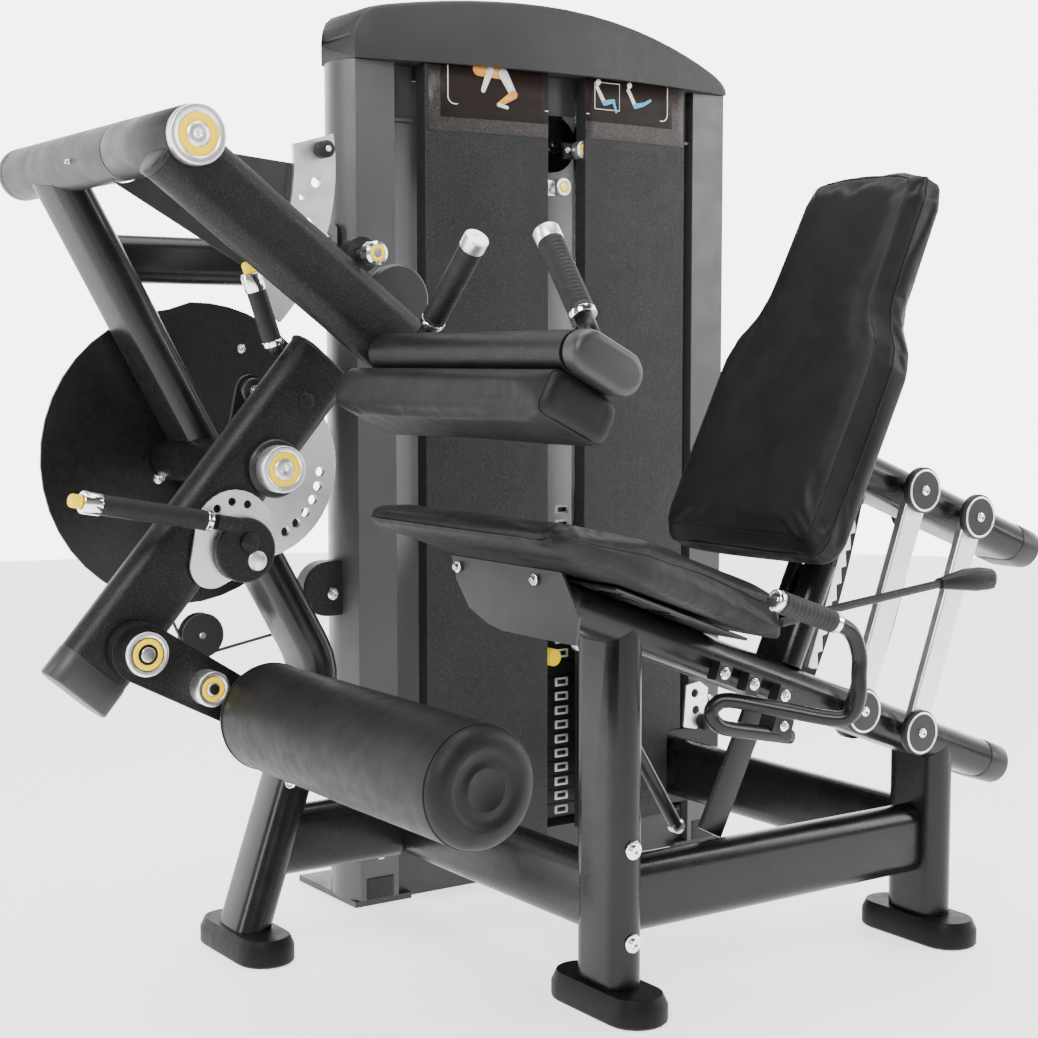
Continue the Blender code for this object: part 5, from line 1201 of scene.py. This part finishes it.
def make_placards():
    film("left_honeycomb", "left", 0.082, 0.3325, 1.412, 1.530, HEX_FILM, 0.0006)
    film("left_film", "left", 0.106, 0.3325, 1.437, 1.530, BROWN_FILM, 0.0011)
    film("right_honeycomb", "right", 0.4195, 0.672, 1.418, 1.530, HEX_FILM, 0.0006)
    film("right_film", "right", 0.4195, 0.6400, 1.450, 1.530, BROWN_FILM, 0.0011)
    left_line = [(0.120, 1.530), (0.120, 1.475)]
    left_line += [(0.120 + 0.014 * (1 - cos(a)), 1.475 - 0.014 * sin(a)) for a in
                  (pi / 2 * i / 6 for i in range(1, 7))]
    left_line += [(0.332, 1.461)]
    printed("left_outline", "left", ribbon(left_line, 0.0018), WHITE_INK, 0.0015)
    right_line = [(0.4200, 1.4635), (0.612, 1.4635)]
    right_line += [(0.612 + 0.014 * sin(a), 1.4775 - 0.014 * cos(a)) for a in
                   (pi / 2 * i / 6 for i in range(1, 7))]
    right_line += [(0.626, 1.530)]
    printed("right_outline", "right", ribbon(right_line, 0.0018), WHITE_INK, 0.0015)
    figure("leg_picture", "left", 0.225, 1.487, 0.10, (
        ((-0.42, 0.40), (0.08, 0.34), 0.13, 0.10, ORANGE_INK, 0.0016),
        ((0.08, 0.34), (0.30, -0.02), 0.10, 0.07, WHITE_INK, 0.0019),
        ((0.30, -0.02), (-0.02, -0.22), 0.08, 0.04, ORANGE_INK, 0.0022),
        ((-0.20, 0.38), (-0.34, 0.02), 0.07, 0.045, WHITE_INK, 0.0022),
        ((-0.02, -0.22), (0.16, -0.26), 0.035, 0.03, WHITE_INK, 0.0025)))
    for name, x in (("near", 0.468), ("far", 0.545)):
        figure(f"{name}_picture", "right", x, 1.498, 0.055, (
            ((-0.42, 0.30), (-0.10, -0.20), 0.07, 0.08, WHITE_INK, 0.0016),
            ((-0.38, 0.46), (-0.36, 0.48), 0.10, 0.10, WHITE_INK, 0.0019),
            ((-0.10, -0.22), (0.30, -0.12), 0.09, 0.07, BLUE_INK, 0.0019),
            ((0.30, -0.12), (0.42 if name == "near" else 0.62, -0.48 if name == "near" else 0.04), 0.06,
             0.045, BLUE_INK, 0.0022)))
    frame_line = [(0.440, 1.474), (0.500, 1.474), (0.500, 1.524), (0.440, 1.524), (0.440, 1.4745)]
    printed("picture_frame", "right", ribbon(frame_line, 0.0014), WHITE_INK, 0.0014)


def make_tower_details():
    plate_outline = [at((0.3345 + 0.4175) / 2 + a, 0, 1.4945 + b) for a, b in rounded(0.083, 0.071, 0.003, 3)]
    piece("name_plate", plate(plate_outline, 0.668, 0.672), CAP_PLASTIC, "frame", edge=0.0005)
    for name, low_x, high_x in (("left", 0.0285, 0.0755), ("right", 0.6765, 0.7175)):
        middle = (low_x + high_x) / 2
        outline = [at(middle + a, 0, 1.478 + b) for a, b in rounded(high_x - low_x, 0.100, 0.003, 2)]
        piece(f"{name}_corner_panel", plate(outline, 0.7, 0.704), COLUMN_PAINT, "frame", edge=0.0005)
        lip = [at(middle + a, 0.700 + b, 0) for a, b in rounded(high_x - low_x, 0.024, 0.004, 3)]
        lip_bm = loft([[p + Vector((0, 0, z)) for p in lip] for z in (1.428, 1.434)])
        piece(f"{name}_corner_lip", lip_bm, COLUMN_PAINT, "frame", edge=0.0008)
    for name, x, z in (("high", 0.422, 1.397), ("low", 0.3754, 1.3252)):
        centre = at(x, 0.664, z)
        ring_cap(f"{name}_knob", centre, TOWARDS_USER, 0.0165, 0.022, "frame", 0.0060, 0.0112)
        ends = [centre + Vector((across, 0.006, -0.001)) for across in (-0.030, 0.014)]
        piece(f"{name}_knob_bracket", bar(*ends, rounded(0.008, 0.03, 0.002, 3), (0, 1, 0)), CHROME
              if name == "low" else BLACK_PLASTIC, "frame")
        bolt(f"{name}_bracket_screw", centre + Vector((-0.023, 0.002, 0)), TOWARDS_USER, "frame", 0.0035,
             0.0050)
    hub = at(0.4345, 0.0, 1.420)
    for name, y in (("near", 0.758), ("far", 0.789)):
        outline = capsule(hub, hub + Vector((0, 0, 0.075)), 0.018, 0.020)
        piece(f"crown_bracket_{name}", plate(outline, y, y + 0.003), STEEL, "frame", edge=0.0004)
    lathe("crown_axle", [(0.756, 0.006), (0.794, 0.006)], hub, (0, 1, 0), 28, STEEL, "frame", edge=0.0004)
    cable_low, cable_top = at(0.385, 0.775, 0.740), at(0.385, 0.775, 1.420)
    cable = make("stack_cable", pipe([cable_low, cable_top], 0.003, 12), CABLE)
    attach(cable, "frame")
    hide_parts("lift_cable")
    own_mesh(cable)
    make_plate_labels()


PLATE_PITCH = 0.0285
LABEL_X = 0.430


def make_plate_labels():
    """A light label with a dark mark on the front of each weight plate."""
    for node, body in (("lifted", "stack"), ("rest", "frame")):
        bottom, top = (corner.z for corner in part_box(f"{node}_plates"))
        for number in range(int((top - bottom) / PLATE_PITCH)):
            middle = at(LABEL_X, 0, bottom + PLATE_PITCH * (number + 0.5))
            for kind, size, depth, material in (
                    ("label", (0.032, 0.017, 0.002, 2), (0.7243, 0.7249), WHITE_INK),
                    ("mark", (0.020, 0.009, 0.001, 2), (0.7238, 0.7243), BLACK_PLASTIC)):
                outline = [middle + Vector((a, 0, b)) for a, b in rounded(*size)]
                piece(f"{node}_{kind}_{number}", plate(outline, *depth), material, body,
                      edge=0)


def make_knee_details():
    """Pulley cover on the column, the guard's bolt and the housing's bolt."""
    centre = at(-0.095, 0, 0.5875)
    outline = capsule(centre, centre + Vector((0.020, 0, 0)), 0.050, 0.050)
    piece("column_pulley_cover", plate(outline, 0.716, 0.752), TEXTURED, "frame", edge=0.003)
    bolt("pulley_cover_bolt", at(-0.086, 0.716, 0.5782), TOWARDS_USER, "frame", 0.007, 0.011)
    bolt("guard_bolt", at(-0.4037, 0.7535, 0.7973), TOWARDS_USER, "frame", 0.006, 0.010)
    bolt("guard_bolt_high", at(-0.245, 0.7535, 1.020), TOWARDS_USER, "frame", 0.005, 0.008)


finish_cad_nodes()
make_frame_details()
make_strut_and_brace()
make_under_seat()
make_lever_stop_plate()
make_seat_handle()
make_leg_arm()
make_roller_link()
make_thigh_arm()
make_lock()
make_seat_cushion()
make_backrest_cushion()
make_thigh_cushion()
make_roller_cushion()
make_link_pair("rear_links", REAR_FOOT)
make_link_pair("middle_links", MIDDLE_FOOT)
make_placards()
make_tower_details()
make_knee_details()
make_studio()
make_camera()
